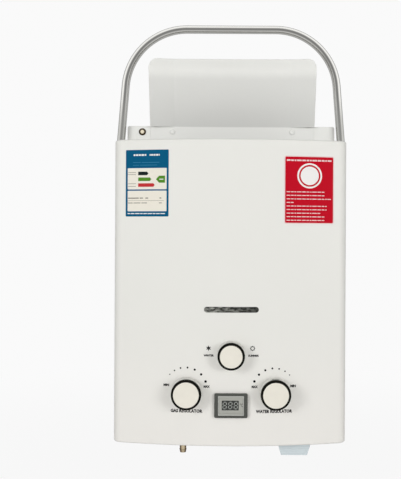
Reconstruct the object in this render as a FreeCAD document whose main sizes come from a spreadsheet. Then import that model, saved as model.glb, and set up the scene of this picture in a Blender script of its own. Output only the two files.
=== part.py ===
import FreeCAD, Part
import math
import os
import re
import Sketcher
from FreeCAD import Rotation, Vector

# Portable gas water heater. Millimetres, +Z up, +X to the right, the front faces -Y.
# The origin lies between the round entries of the two keyholes, on the rear face of the back plate.

doc = FreeCAD.newDocument("WaterHeater")
sheet = doc.addObject("Spreadsheet::Sheet", "Size")

SIZES = {
    # case
    "case_width": 290,
    "case_height": 376,
    "case_depth": 110,
    "front_radius": 610,
    "corner_radius": 12,
    "wall": 1,
    "edge_round": 2.5,
    "flange": 12,
    "flange_setback": 27,
    "fit_gap": 0.3,
    # back plate
    "back_sheet": 1.2,
    "plate_inset": 3,
    "plate_corner": 3,
    "plate_flange": 15,
    "strip_height": 32,
    "keyhole_drop": 30,
    "keyhole_spacing": 160,
    "keyhole_head": 5,
    "keyhole_neck": 2.75,
    "keyhole_fall": 11,
    "vent_width": 4,
    "vent_height": 40,
    "vent_pitch": 16,
    "vent_count": 11,
    "vent_level": 74,
    "bottom_vent_pitch": 10,
    "bottom_vent_length": 18,
    "bottom_vent_back": 16,
    "bottom_vent_shift": 22,
    # rain hood
    "hood_inset": 29.8,
    "hood_shift": 1.8,
    "hood_sheet": 1,
    "hood_foot": 2,
    "hood_bend_level": 31,
    "hood_lean": 17,
    "hood_panel": 71.2,
    "hood_roll": 35,
    "hood_lip_lean": 34,
    "hood_lip": 9.9,
    "hood_wing": 33,
    "hood_wing_turn": 9,
    "hood_corner": 13,
    "hood_screw_inset": 30.2,
    "strip_screw_level": 24,
    "strip_screw_inset": 20.4,
    # screws
    "screw_radius": 2,
    "screw_head_radius": 3.6,
    "screw_head": 1.8,
    "screw_crown": 1.1,
    "screw_reach": 5,
    "brass_head_radius": 4.8,
    "cover_screw_inset": 6.5,
    "cover_screw_setback": 30,
    # handle
    "handle_tube": 5.5,
    "handle_rise": 163,
    "leg_offset": 5.5,
    "handle_bend": 84,
    "handle_splay": 4.6,
    "handle_inset": 7.5,
    "handle_pivot_drop": 20,
    "handle_neck": 4,
    "tab_top_drop": 8,
    "tab_sheet": 3,
    "tab_half": 6,
    "tab_gap": 1.1,
    "handle_bolt": 2.5,
    "handle_bolt_head": 4.5,
    "handle_bolt_head_height": 2.6,
    "pivot_gap": 0.06,
    "nut_radius": 4.6,
    "nut_height": 4,
    # controls on the front
    "control_shift": 1.7,
    "slot_level": 167,
    "slot_length": 67,
    "slot_height": 7,
    "knob_spacing": 108,
    "knob_level": 65.9,
    "knob_radius": 18.2,
    "knob_flare": 0.6,
    "knob_depth": 15.5,
    "knob_gap": 0.6,
    "knob_rim": 2.2,
    "cap_crown": 1.2,
    "cap_seat": 3,
    "season_level": 112,
    "season_radius": 16.4,
    "shaft_radius": 3,
    "shaft_hole_gap": 1.5,
    "shaft_engage": 12,
    "gland_radius": 8,
    "gland_length": 6,
    "display_level": 50.6,
    "bezel_width": 40.6,
    "bezel_height": 29.6,
    "bezel_corner": 2,
    "bezel_proud": 3,
    "bezel_frame": 4.3,
    "bezel_neck": 9,
    "window_sheet": 1.6,
    "window_recess": 0.6,
    "board_width": 46,
    "board_height": 34,
    "board_sheet": 1.6,
    # burner, chamber and exchanger
    "stack_width": 162.4,
    "stack_front_gap": 22.8,
    "stack_back": 20.8,
    "stack_sheet": 1.2,
    "frame_bottom": 118,
    "chamber_bottom": 156,
    "fins_bottom": 250,
    "fins_top": 304,
    "neck_bottom": 350,
    "neck_width": 150,
    "neck_depth": 44,
    "neck_back": 18,
    "neck_proud": 1,
    "fin_count": 19,
    "fin_sheet": 0.8,
    "fin_margin": 0.4,
    "tube_radius": 7,
    "tube_pitch": 21,
    "tube_row_low": 16,
    "tube_row_gap": 23,
    "tube_overhang": 10,
    "bar_count": 7,
    "bar_pitch": 22,
    "bar_width": 11,
    "bar_height": 32,
    "burner_throat": 11,
    "mouth_radius": 3.7,
    "bar_slot": 1.6,
    "bar_slot_depth": 5,
    "bar_slot_count": 12,
    "manifold_height": 12,
    "manifold_depth": 9,
    "manifold_gap": 7,
    "jet_radius": 2.6,
    "jet_level": 6,
    "bracket_width": 100,
    "bracket_height": 18,
    "bracket_sheet": 2,
    "bracket_level": 200,
    "probe_radius": 2.4,
    "probe_level": 184,
    "probe_spacing": 44,
    "probe_length": 34,
    "probe_outside": 9,
    "sight_height": 14,
    # valves
    "valve_bottom": 44,
    "valve_top": 92,
    "valve_front": 92,
    "valve_back": 34,
    "gas_valve_left": 84,
    "gas_valve_right": 10,
    "water_valve_left": 24,
    "water_valve_right": 59,
    "diaphragm_axis": 64,
    "diaphragm_radius": 25,
    "diaphragm_sheet": 2,
    "valve_cover": 11,
    "valve_cover_neck": 8,
    "cavity_radius": 17,
    "cavity_depth": 8,
    "rod_radius": 2.5,
    "rod_head_radius": 11,
    "rod_head": 2.5,
    "rod_travel": 4,
    "rod_engage": 12,
    "valve_screw_circle": 21.3,
    "valve_screw_count": 6,
    "season_valve_width": 34,
    "season_valve_front": 100,
    "season_valve_depth": 26,
    "solenoid_radius": 12,
    "solenoid_length": 30,
    "solenoid_stem": 6,
    "solenoid_stem_length": 4.5,
    "switch_length": 20,
    "switch_depth": 12,
    "switch_height": 10,
    # water and gas connections
    "thread_radius": 10.45,
    "thread_drop": 14,
    "shoulder": 3,
    "shoulder_height": 1.5,
    "connection_hole_gap": 0.4,
    "lock_nut": 15,
    "lock_nut_height": 5,
    "cold_offset": 38,
    "cold_back": 45,
    "hot_top": 24,
    "gas_offset": 60.5,
    "gas_back": 48,
    "gas_nipple": 4.3,
    "gas_barb": 4.7,
    "gas_shank": 8,
    "gas_drop": 25,
    "gas_bore": 2.2,
    "gas_tip": 3.8,
    "gas_barb_length": 4.2,
    "gas_barb_pitch": 8.3,
    "drain_offset": 50,
    "drain_back": 70,
    "drain_radius": 5,
    "drain_head": 6.5,
    "drain_drop": 8,
    "drain_head_height": 7,
    "pipe_radius": 6,
    "pipe_bend": 16,
    # battery box
    "battery_shaft_gap": 1.7,
    "battery_front": 90,
    "battery_width": 41.2,
    "battery_depth": 74,
    "battery_wall": 1.8,
    "battery_top": 68,
    "battery_rim": 3,
    "lid_width": 32.8,
    "lid_drop": 17,
    "lid_taper_depth": 66,
    "lid_gap": 0.4,
    "lid_pin": 1.2,
    "lid_pin_lug": 2.6,
    "lid_pin_length": 30,
    "lug_neck": 2.3,
    "lid_lug_width": 6,
    "cell_radius": 16.6,
    "cell_height": 60,
    "cell_cap_radius": 4.5,
    "cell_cap": 1.2,
    "cell_gap": 1,
    "contact_sheet": 0.6,
    # igniter
    "igniter_side_gap": 7,
    "igniter_width": 30,
    "igniter_depth": 58,
    "igniter_bottom": 100,
    "igniter_top": 170,
    "sensor_radius": 8,
    "sensor_height": 7,
    "sensor_level": 232,
}

for row, (alias, number) in enumerate(SIZES.items(), start=1):
    sheet.set(f"A{row}", alias.replace("_", " "))
    sheet.set(f"B{row}", str(number))
    sheet.setAlias(f"B{row}", alias)
doc.recompute()

# Levels and faces that several pieces share, as expressions on the sheet.
FLOOR = "(keyhole_drop - case_height)"
ROOF = "keyhole_drop"
SIDE = "(case_width / 2)"
PLATE_SIDE = "(case_width / 2 - plate_inset)"
COVER_REAR = "(back_sheet + fit_gap)"
PLATE_FRONT = "(-back_sheet)"
DECK = f"({FLOOR} + wall + back_sheet)"
PIVOT_LEVEL = f"({ROOF} - handle_pivot_drop)"
LEFT_KNOB = "(control_shift - knob_spacing / 2)"
RIGHT_KNOB = "(control_shift + knob_spacing / 2)"
BATTERY_MIDDLE = f"({RIGHT_KNOB} + shaft_radius + battery_shaft_gap + battery_width / 2)"
STACK_DEPTH = "(case_depth - stack_front_gap - stack_back)"
STACK_FRONT = "(stack_front_gap - case_depth)"
STACK_SIDE = "(stack_width / 2)"
STACK_MIDDLE = f"(-stack_back - {STACK_DEPTH} / 2)"
MANIFOLD_BACK = f"({STACK_FRONT} - manifold_gap)"
MANIFOLD_BOTTOM = f"({FLOOR} + frame_bottom)"
TUBE_LOW = f"({FLOOR} + fins_bottom + tube_row_low)"
TUBE_HIGH = f"({TUBE_LOW} + tube_row_gap)"
TUBE_END = f"({STACK_SIDE} + tube_overhang)"
TUBE_BEND = "(sqrt((tube_pitch / 2)^2 + tube_row_gap^2) / 2)"
HOT_X = f"({TUBE_END} + pipe_bend)"
HOT_BACK = f"({STACK_MIDDLE} + tube_pitch)"
KNOB_BACK = "(case_depth + knob_gap)"
STRIP_SCREW_X = f"({PLATE_SIDE} - strip_screw_inset)"
STRIP_SCREW_Z = f"({ROOF} + strip_screw_level)"
HOOD_SIDE = f"({PLATE_SIDE} - hood_inset)"
HOOD_SCREW_X = f"({HOOD_SIDE} - hood_screw_inset)"

# Cuts through a wall start outside it and run this far, well past its other side.
WALL_CUT = "(wall * 3)"
FACE_CUT = "(case_depth / 3)"
WHOLE_WIDTH = "(case_width * 2)"


def linked(text):
    """The expression with every size named on the sheet."""

    def name(word):
        return f"Size.{word.group()}" if word.group() in SIZES else word.group()

    return re.sub(r"[a-z][a-z_]*", name, str(text))


def value(text):
    """The number that an expression gives now."""
    return float(sheet.evalExpression(linked(text)))


def bind(thing, sizes):
    for path, text in sizes.items():
        thing.setExpression(path, linked(text))
    return thing


def place(thing, x=0, y=0, z=0, turn=None):
    """Bind a piece's place; turn is (axis, degrees)."""
    if turn:
        thing.Placement = FreeCAD.Placement(Vector(), Rotation(Vector(*turn[0]), turn[1]))
    return bind(thing, {"Placement.Base.x": x, "Placement.Base.y": y, "Placement.Base.z": z})


# ---------------------------------------------------------------- sketches and features

FORWARD = ((1, 0, 0), 90)
BACKWARD = ((1, 0, 0), -90)
RIGHTWARD = ((0, 1, 0), 90)
LEFTWARD = ((0, 1, 0), -90)
DOWNWARD = ((1, 0, 0), 180)


def new_body(name):
    return doc.addObject("PartDesign::Body", name)


def new_sketch(body, plane, offset=0):
    sketch = body.newObject("Sketcher::SketchObject", f"{body.Name}_sketch")
    support = [item for item in body.Origin.OriginFeatures if item.Role == plane][0]
    sketch.AttachmentSupport = [(support, "")]
    sketch.MapMode = "FlatFace"
    bind(sketch, {"AttachmentOffset.Base.z": offset})
    return sketch


def pin_point(sketch, side, end, x, y):
    """Bind one point of a sketch to its coordinates; one that is None stays free."""
    for kind, text in (("DistanceX", x), ("DistanceY", y)):
        if text is None:
            continue
        number = sketch.addConstraint(Sketcher.Constraint(kind, -1, 1, side, end, value(text)))
        bind(sketch, {f"Constraints[{number}]": text})


def outline(sketch, points, arcs=None, closed=True):
    """A loop through the points; arcs gives the centre of each side that is round,
    by the number of its first point, with True where it runs anticlockwise. The point
    where an arc arrives lies on its circle, so only one coordinate is bound there."""
    arcs = arcs or {}
    flat = [Vector(value(x), value(y), 0) for x, y in points]
    count = len(flat)
    sides = []
    for index in range(count if closed else count - 1):
        start = flat[index]
        end = flat[(index + 1) % count]
        if index not in arcs:
            sides.append((sketch.addGeometry(Part.LineSegment(start, end)), 1, 2))
            continue
        centre_x, centre_y, anticlockwise = arcs[index]
        centre = Vector(value(centre_x), value(centre_y), 0)
        first, last = (start, end) if anticlockwise else (end, start)
        circle = Part.Circle(centre, Vector(0, 0, 1), (start - centre).Length)
        arc = Part.ArcOfCircle(circle, circle.parameter(first), circle.parameter(last))
        ends = (1, 2) if anticlockwise else (2, 1)
        sides.append((sketch.addGeometry(arc), *ends))
    for index, (side, start_end, far_end) in enumerate(sides):
        following = (index + 1) % len(sides)
        if closed or following:
            joined = sides[following]
            sketch.addConstraint(Sketcher.Constraint("Coincident", side, far_end, joined[0], joined[1]))
        x, y = points[index]
        arriving = arcs.get((index - 1) % count)
        if arriving:
            across = abs(flat[index].x - value(arriving[0])) > abs(flat[index].y - value(arriving[1]))
            x, y = (None, y) if across else (x, None)
        pin_point(sketch, side, start_end, x, y)
        if index in arcs:
            pin_point(sketch, side, 3, arcs[index][0], arcs[index][1])
    if not closed:
        pin_point(sketch, sides[-1][0], sides[-1][2], *points[-1])
    return sketch


def circle(sketch, x, y, radius):
    ring = Part.Circle(Vector(value(x), value(y), 0), Vector(0, 0, 1), value(radius))
    side = sketch.addGeometry(ring)
    pin_point(sketch, side, 3, x, y)
    number = sketch.addConstraint(Sketcher.Constraint("Radius", side, value(radius)))
    bind(sketch, {f"Constraints[{number}]": radius})
    return sketch


def rectangle(sketch, left, right, bottom, top, radius=None):
    if radius is None:
        return outline(sketch, [(left, bottom), (right, bottom), (right, top), (left, top)])
    inner = (f"{left} + {radius}", f"{right} - {radius}", f"{bottom} + {radius}", f"{top} - {radius}")
    west, east, south, north = inner
    points = [(west, bottom), (east, bottom), (right, south), (right, north)]
    points += [(east, top), (west, top), (left, north), (left, south)]
    arcs = {1: (east, south, True), 3: (east, north, True), 5: (west, north, True), 7: (west, south, True)}
    return outline(sketch, points, arcs)


def long_slot(sketch, x, y, length, height):
    """A level slot with round ends about its middle."""
    reach = f"(({length}) - ({height})) / 2"
    low = f"{y} - {height} / 2"
    high = f"{y} + {height} / 2"
    left = f"{x} - {reach}"
    right = f"{x} + {reach}"
    arcs = {1: (right, y, True), 3: (left, y, True)}
    return outline(sketch, [(left, low), (right, low), (right, high), (left, high)], arcs)


def pad(body, sketch, length, backwards=False, middle=False):
    feature = body.newObject("PartDesign::Pad", f"{body.Name}_pad")
    feature.Profile = sketch
    feature.Reversed = backwards
    feature.Midplane = middle
    bind(feature, {"Length": length})
    doc.recompute()
    return feature


def pocket(body, sketch, length=None, backwards=False, middle=False):
    """Cut into the body against the sketch's normal, or along it where backwards is set."""
    before = body.Shape.Volume
    feature = body.newObject("PartDesign::Pocket", f"{body.Name}_pocket")
    feature.Profile = sketch
    feature.Reversed = backwards
    feature.Midplane = middle
    if length is None:
        feature.Type = "ThroughAll"
    else:
        bind(feature, {"Length": length})
    doc.recompute()
    if body.Shape.Volume >= before:
        raise RuntimeError(f"{feature.Name} cuts nothing")
    return feature


def turned(name, points, arcs=None):
    """A piece of revolution about its own Z axis, from points of radius and height."""
    body = new_body(name)
    sketch = outline(new_sketch(body, "XZ_Plane"), points, arcs)
    feature = body.newObject("PartDesign::Revolution", f"{name}_turn")
    feature.Profile = sketch
    feature.ReferenceAxis = (sketch, ["V_Axis"])
    feature.Angle = 360
    doc.recompute()
    return body


def pattern(body, feature, axis, pitch, count, name):
    """Repeat a feature along one of the body's origin axes."""
    row = body.newObject("PartDesign::LinearPattern", name)
    row.Originals = [feature]
    row.Direction = ([item for item in body.Origin.OriginFeatures if item.Role == axis][0], [""])
    bind(row, {"Length": f"({count} - 1) * ({pitch})", "Occurrences": count})
    body.Tip = row
    doc.recompute()
    return row


def mirrored(body, features, plane="YZ_Plane"):
    copy = body.newObject("PartDesign::Mirrored", f"{body.Name}_mirrored")
    copy.Originals = features
    copy.MirrorPlane = ([item for item in body.Origin.OriginFeatures if item.Role == plane][0], [""])
    body.Tip = copy
    doc.recompute()
    return copy


# ---------------------------------------------------------------- plain solids


def block(name, left, right, front, back, bottom, top):
    """A box between six faces."""
    item = doc.addObject("Part::Box", name)
    lengths = {"Length": f"({right}) - ({left})", "Width": f"({back}) - ({front})"}
    bind(item, {**lengths, "Height": f"({top}) - ({bottom})"})
    return place(item, left, front, bottom)


def rod(name, radius, length, x, y, z, turn=None):
    item = doc.addObject("Part::Cylinder", name)
    bind(item, {"Radius": radius, "Height": length})
    return place(item, x, y, z, turn)


def hexagon(name, radius, height, x, y, z, turn=None):
    item = doc.addObject("Part::Prism", name)
    item.Polygon = 6
    bind(item, {"Circumradius": radius, "Height": height})
    return place(item, x, y, z, turn)


def joined(name, items):
    item = doc.addObject("Part::MultiFuse", name)
    item.Shapes = items
    item.Refine = True
    return item


def without(name, base, tool):
    item = doc.addObject("Part::Cut", name)
    item.Base = base
    item.Tool = tool
    return item


def grouped(name, items):
    item = doc.addObject("Part::Compound", name)
    item.Links = items
    return item


def opposite(item):
    """The same piece on the other side of the case."""
    copy = doc.addObject("Part::Mirroring", f"{item.Name}_opposite")
    copy.Source = item
    copy.Normal = Vector(1, 0, 0)
    return copy


PIECES = []


def keep(item, label):
    """Give a sub-part its label and put it among the pieces to write."""
    item.Label = label
    PIECES.append(item)
    return item


# ---------------------------------------------------------------- case


def case_plan(sketch, inset, rear):
    """The case seen from above, drawn in by inset, with its straight rear edge at rear."""
    side = f"(case_width / 2 - {inset})"
    big = f"(front_radius - {inset})"
    small = f"(corner_radius - {inset})"
    centre = "(front_radius - case_depth)"
    corner_x = f"({side} - {small})"
    corner_y = f"({centre} - sqrt(({big} - {small})^2 - {corner_x}^2))"
    reach = f"({big} / ({big} - {small}))"
    touch_x = f"({corner_x} * {reach})"
    touch_y = f"({centre} + ({corner_y} - {centre}) * {reach})"
    points = [(f"-{side}", rear), (f"-{side}", corner_y), (f"-{touch_x}", touch_y)]
    points += [(touch_x, touch_y), (side, corner_y), (side, rear)]
    arcs = {1: (f"-{corner_x}", corner_y, True), 2: ("0", centre, True), 3: (corner_x, corner_y, True)}
    return outline(sketch, points, arcs)


def rim_edges(shape, levels, rear):
    """Names of the edges that lie level at one of the heights, apart from those at the rear."""
    names = []
    for number, edge in enumerate(shape.Edges, start=1):
        bounds = edge.BoundBox
        flat = bounds.ZLength < 0.001
        level = any(abs(bounds.ZMin - height) < 0.001 for height in levels)
        at_rear = bounds.YMin > rear - 0.001
        if flat and level and not at_rear:
            names.append(f"Edge{number}")
    return names


def front_cover():
    """The wrap-round front: a bowed face, two side walls and narrow flanges above and below."""
    body = new_body("front_cover")
    plan = case_plan(new_sketch(body, "XY_Plane", FLOOR), "0", f"-{COVER_REAR}")
    solid = pad(body, plan, "case_height")
    rounding = body.newObject("PartDesign::Fillet", "cover_edges")
    levels = (value(FLOOR), value(ROOF))
    rounding.Base = (solid, rim_edges(solid.Shape, levels, -value(COVER_REAR)))
    bind(rounding, {"Radius": "edge_round"})
    doc.recompute()
    shell = body.newObject("PartDesign::Thickness", "cover_shell")
    rear = [n for n, face in enumerate(rounding.Shape.Faces, start=1) if face.BoundBox.YLength < 0.001]
    shell.Base = (rounding, [f"Face{rear[0]}"])
    shell.Reversed = True
    bind(shell, {"Value": "wall"})
    doc.recompute()
    mouth = new_sketch(body, "XY_Plane", FLOOR)
    inner = f"({SIDE} - flange)"
    rectangle(mouth, f"-{inner}", inner, "-(case_depth - flange_setback)", "0")
    rim = "(battery_width / 2 + battery_rim + fit_gap)"
    notch = new_sketch(body, "XY_Plane", f"{FLOOR} + {WALL_CUT} - wall")
    rectangle(notch, f"{BATTERY_MIDDLE} - {rim}", f"{BATTERY_MIDDLE} + {rim}",
              "-(battery_front + battery_rim + fit_gap)", "-(battery_front - battery_depth)")
    pocket(body, mouth, backwards=True)
    pocket(body, notch, WALL_CUT)
    face = new_sketch(body, "XZ_Plane", "case_depth + wall")
    long_slot(face, "control_shift", f"{FLOOR} + slot_level", "slot_length", "slot_height")
    hole = "(shaft_radius + shaft_hole_gap)"
    circle(face, LEFT_KNOB, f"{FLOOR} + knob_level", hole)
    circle(face, RIGHT_KNOB, f"{FLOOR} + knob_level", hole)
    circle(face, "control_shift", f"{FLOOR} + season_level", hole)
    half_width = "(bezel_width / 2 - bezel_frame / 2 + fit_gap)"
    half_height = "(bezel_height / 2 - bezel_frame / 2 + fit_gap)"
    low = f"{FLOOR} + display_level - {half_height}"
    high = f"{FLOOR} + display_level + {half_height}"
    rectangle(face, f"control_shift - {half_width}", f"control_shift + {half_width}", low, high)
    pocket(body, face, FACE_CUT)
    pivots = circle(new_sketch(body, "YZ_Plane"), "-handle_inset", PIVOT_LEVEL, "handle_bolt")
    pocket(body, pivots, WHOLE_WIDTH, middle=True)
    bottom = new_sketch(body, "XY_Plane", f"{FLOOR} - wall")
    for x, y in cover_screw_places():
        circle(bottom, x, y, "screw_radius")
    pocket(body, bottom, WALL_CUT, backwards=True)
    return keep(body, "front_cover")


def cover_screw_places():
    across = f"({SIDE} - cover_screw_inset)"
    places = []
    for x in (f"-{across}", across):
        places.append((x, "-cover_screw_setback"))
        places.append((x, "-(case_depth - cover_screw_setback)"))
    return places


def back_plate():
    """The flat rear sheet with its side flanges, keyholes and vents; its top stands above the case."""
    body = new_body("back_plate")
    top = f"({ROOF} + strip_height)"
    flat = rectangle(new_sketch(body, "XZ_Plane"), f"-{PLATE_SIDE}", PLATE_SIDE, FLOOR, top, "plate_corner")
    pad(body, flat, "back_sheet")
    end_gap = f"(edge_round + {WALL_CUT})"
    flanges = new_sketch(body, "XY_Plane", f"{FLOOR} + {end_gap}")
    inner = f"({PLATE_SIDE} - back_sheet)"
    rectangle(flanges, f"-{PLATE_SIDE}", f"-{inner}", "-plate_flange", PLATE_FRONT)
    rectangle(flanges, inner, PLATE_SIDE, "-plate_flange", PLATE_FRONT)
    pad(body, flanges, f"case_height - 2 * {end_gap}")
    pivots = circle(new_sketch(body, "YZ_Plane"), "-handle_inset", PIVOT_LEVEL, "handle_bolt")
    pocket(body, pivots, WHOLE_WIDTH, middle=True)
    holes = new_sketch(body, "XZ_Plane", "plate_flange")
    for side in ("-", ""):
        keyhole(holes, f"{side}keyhole_spacing / 2")
        circle(holes, f"hood_shift + {side}{HOOD_SCREW_X}", STRIP_SCREW_Z, "screw_radius")
    circle(holes, f"-{STRIP_SCREW_X}", STRIP_SCREW_Z, "screw_radius")
    pocket(body, holes)
    first = "-(vent_count - 1) * vent_pitch / 2"
    vent = new_sketch(body, "XZ_Plane", "plate_flange")
    upright_slot(vent, first, f"{FLOOR} + vent_level", "vent_width", "vent_height")
    cut = pocket(body, vent)
    pattern(body, cut, "X_Axis", "vent_pitch", "vent_count", "back_vents")
    return keep(body, "back_plate")


def upright_slot(sketch, x, y, width, height):
    """An upright slot with round ends about its middle."""
    reach = f"(({height}) - ({width})) / 2"
    left = f"{x} - {width} / 2"
    right = f"{x} + {width} / 2"
    low = f"{y} - {reach}"
    high = f"{y} + {reach}"
    arcs = {0: (x, low, True), 2: (x, high, True)}
    return outline(sketch, [(left, low), (right, low), (right, high), (left, high)], arcs)


def keyhole(sketch, x):
    """A round entry at the origin's level, with a narrow neck up to the place where it hangs."""
    shoulder = "sqrt(keyhole_head^2 - keyhole_neck^2)"
    left = f"({x}) - keyhole_neck"
    right = f"({x}) + keyhole_neck"
    points = [(left, shoulder), (right, shoulder), (right, "keyhole_fall"), (left, "keyhole_fall")]
    arcs = {0: (x, "0", True), 2: (x, "keyhole_fall", True)}
    return outline(sketch, points, arcs)


def sheet_floor(name, level):
    """A sheet that fills the case's plan inside the cover's walls."""
    body = new_body(name)
    plan = case_plan(new_sketch(body, "XY_Plane", level), "(edge_round + fit_gap)", PLATE_FRONT)
    pad(body, plan, "back_sheet")
    return body


def bottom_plate():
    body = sheet_floor("bottom_plate", f"{FLOOR} + wall")
    holes = new_sketch(body, "XY_Plane", FLOOR)
    circle(holes, "cold_offset", "-cold_back", "thread_radius + connection_hole_gap")
    circle(holes, f"-{HOT_X}", HOT_BACK, "thread_radius + connection_hole_gap")
    circle(holes, "-gas_offset", "-gas_back", "gas_shank + connection_hole_gap")
    circle(holes, "drain_offset", "-drain_back", "drain_radius + connection_hole_gap")
    left = f"{BATTERY_MIDDLE} - battery_width / 2"
    right = f"{BATTERY_MIDDLE} + battery_width / 2"
    rectangle(holes, left, right, "-battery_front", "-(battery_front - battery_depth)")
    for x, y in cover_screw_places():
        circle(holes, x, y, "screw_radius")
    pocket(body, holes, backwards=True)
    vent = new_sketch(body, "XY_Plane", FLOOR)
    first = "-(vent_count - 1) * bottom_vent_pitch / 2 - bottom_vent_shift"
    upright_slot(vent, first, "-bottom_vent_back", "vent_width", "bottom_vent_length")
    cut = pocket(body, vent, backwards=True)
    pattern(body, cut, "X_Axis", "bottom_vent_pitch", "vent_count", "bottom_vents")
    return keep(body, "bottom_plate")


def top_panel():
    body = sheet_floor("top_panel", f"{ROOF} - wall - back_sheet")
    hole = new_sketch(body, "XY_Plane", f"{ROOF} - {WALL_CUT} - back_sheet")
    half = "(neck_width / 2 + fit_gap)"
    rectangle(hole, f"-{half}", half, "-(neck_back + neck_depth + fit_gap)", "-(neck_back - fit_gap)")
    pocket(body, hole, backwards=True)
    return keep(body, "top_panel")


def rain_hood():
    """The sheet shield on the strip: it leans forward, rolls over at the top and has two turned wings."""
    body = new_body("rain_hood")
    foot = f"({ROOF} + hood_foot)"
    bend = f"({ROOF} + hood_bend_level)"
    half = HOOD_SIDE
    rear = PLATE_FRONT
    flange = new_sketch(body, "XZ_Plane", "back_sheet")
    rectangle(flange, f"-{half}", half, foot, bend)
    pad(body, flange, "hood_sheet")
    middle = f"({half} - hood_wing)"
    panel = hood_profile(new_sketch(body, "YZ_Plane"), rear, bend)
    pad(body, panel, f"2 * {middle}", middle=True)
    wing_sketch = hood_profile(new_sketch(body, "YZ_Plane", middle), rear, bend)
    wing = body.newObject("PartDesign::Pad", "hood_wing_pad")
    wing.Profile = wing_sketch
    wing.UseCustomVector = True
    wing.AlongSketchNormal = True
    bind(wing, {"Direction.x": "cos(hood_wing_turn)", "Direction.y": "-sin(hood_wing_turn)"})
    bind(wing, {"Direction.z": 0, "Length": "hood_wing"})
    doc.recompute()
    mirrored(body, [wing])
    corners = new_sketch(body, "XZ_Plane")
    top = f"({ROOF} + hood_bend_level + {HOOD_RISE})"
    beyond = f"({half} + hood_wing)"
    above = f"({top} + hood_corner)"
    for sign, turns in (("", False), ("-", True)):
        start = (f"{sign}({half} - hood_corner)", top)
        end = (f"{sign}{half}", f"({top} - hood_corner)")
        outer = [(f"{sign}{beyond}", end[1]), (f"{sign}{beyond}", above), (start[0], above)]
        arc = {0: (start[0], end[1], turns)}
        outline(corners, [start, end, *outer], arc)
    pocket(body, corners, backwards=True)
    holes = new_sketch(body, "XZ_Plane")
    for sign in ("-", ""):
        circle(holes, f"{sign}{HOOD_SCREW_X}", STRIP_SCREW_Z, "screw_radius")
    pocket(body, holes, backwards=True)
    place(body, "hood_shift", "0", "0")
    return keep(body, "rain_hood")


HOOD_RISE = (
    "(hood_panel * cos(hood_lean) + hood_roll * (sin(hood_lip_lean) - sin(hood_lean))"
    " + hood_lip * cos(hood_lip_lean))"
)


def hood_profile(sketch, rear, bend):
    """Section of the shield: a leaning run, a rolled bend and a steeper lip, all one sheet thick."""

    def along(skin):
        """The three corners of one skin, skin being its distance in front of the rear face."""
        start_y = f"({rear} - {skin} * cos(hood_lean))"
        start_z = f"({bend} - {skin} * sin(hood_lean))"
        bend_y = f"({start_y} - hood_panel * sin(hood_lean))"
        bend_z = f"({start_z} + hood_panel * cos(hood_lean))"
        curve = f"(hood_roll - {skin})"
        lip_y = f"({bend_y} + {curve} * (cos(hood_lip_lean) - cos(hood_lean)))"
        lip_z = f"({bend_z} + {curve} * (sin(hood_lip_lean) - sin(hood_lean)))"
        end_y = f"({lip_y} - hood_lip * sin(hood_lip_lean))"
        end_z = f"({lip_z} + hood_lip * cos(hood_lip_lean))"
        return [(start_y, start_z), (bend_y, bend_z), (lip_y, lip_z), (end_y, end_z)]

    back = along("0")
    face = along("hood_sheet")
    centre_y = f"({back[1][0]} - hood_roll * cos(hood_lean))"
    centre_z = f"({back[1][1]} - hood_roll * sin(hood_lean))"
    arcs = {1: (centre_y, centre_z, True), 5: (centre_y, centre_z, False)}
    return outline(sketch, [*back, *reversed(face)], arcs)


# ---------------------------------------------------------------- screws


def pan_screw(name, radius, head_radius, head, reach):
    """A domed screw whose head sits on Z = 0 and whose shank points down."""
    dome = f"({head_radius} - screw_crown)"
    points = [("0", f"-{reach}"), (radius, f"-{reach}"), (radius, "0"), (head_radius, "0")]
    points += [(head_radius, f"{head} / 2"), (dome, head), ("0", head)]
    return turned(name, points)


def fasteners():
    size = ("screw_radius", "screw_head_radius", "screw_head", "screw_reach")
    hood_screw = pan_screw("hood_screw", *size)
    place(hood_screw, HOOD_SCREW_X, "-(back_sheet + hood_sheet)", STRIP_SCREW_Z, FORWARD)
    pair = grouped("hood_screw_pair", [hood_screw, opposite(hood_screw)])
    keep(place(pair, "hood_shift", "0", "0"), "hood_screws")
    brass = pan_screw("strip_screw", "screw_radius", "brass_head_radius", "screw_head", "screw_reach")
    place(brass, f"-{STRIP_SCREW_X}", PLATE_FRONT, STRIP_SCREW_Z, FORWARD)
    keep(brass, "earth_screw")
    screws = []
    for number, (x, y) in enumerate(cover_screw_places()):
        screw = pan_screw(f"cover_screw_{number}", *size)
        screws.append(place(screw, x, y, FLOOR, DOWNWARD))
    keep(grouped("cover_screw_set", screws), "cover_screws")


# ---------------------------------------------------------------- handle

TAB_MIDDLE = f"({SIDE} + tab_gap + tab_sheet / 2)"
LEG_FOOT_X = f"({SIDE} + leg_offset)"
LEG_FOOT_Z = f"({ROOF} + handle_neck)"
LEG_TOP_Z = f"({ROOF} + handle_rise - handle_bend * (1 - sin(handle_splay)))"
LEG_TOP_X = f"({LEG_FOOT_X} - ({LEG_TOP_Z} - {LEG_FOOT_Z}) * tan(handle_splay))"
BAR_END = f"({LEG_TOP_X} - handle_bend * cos(handle_splay))"


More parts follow.
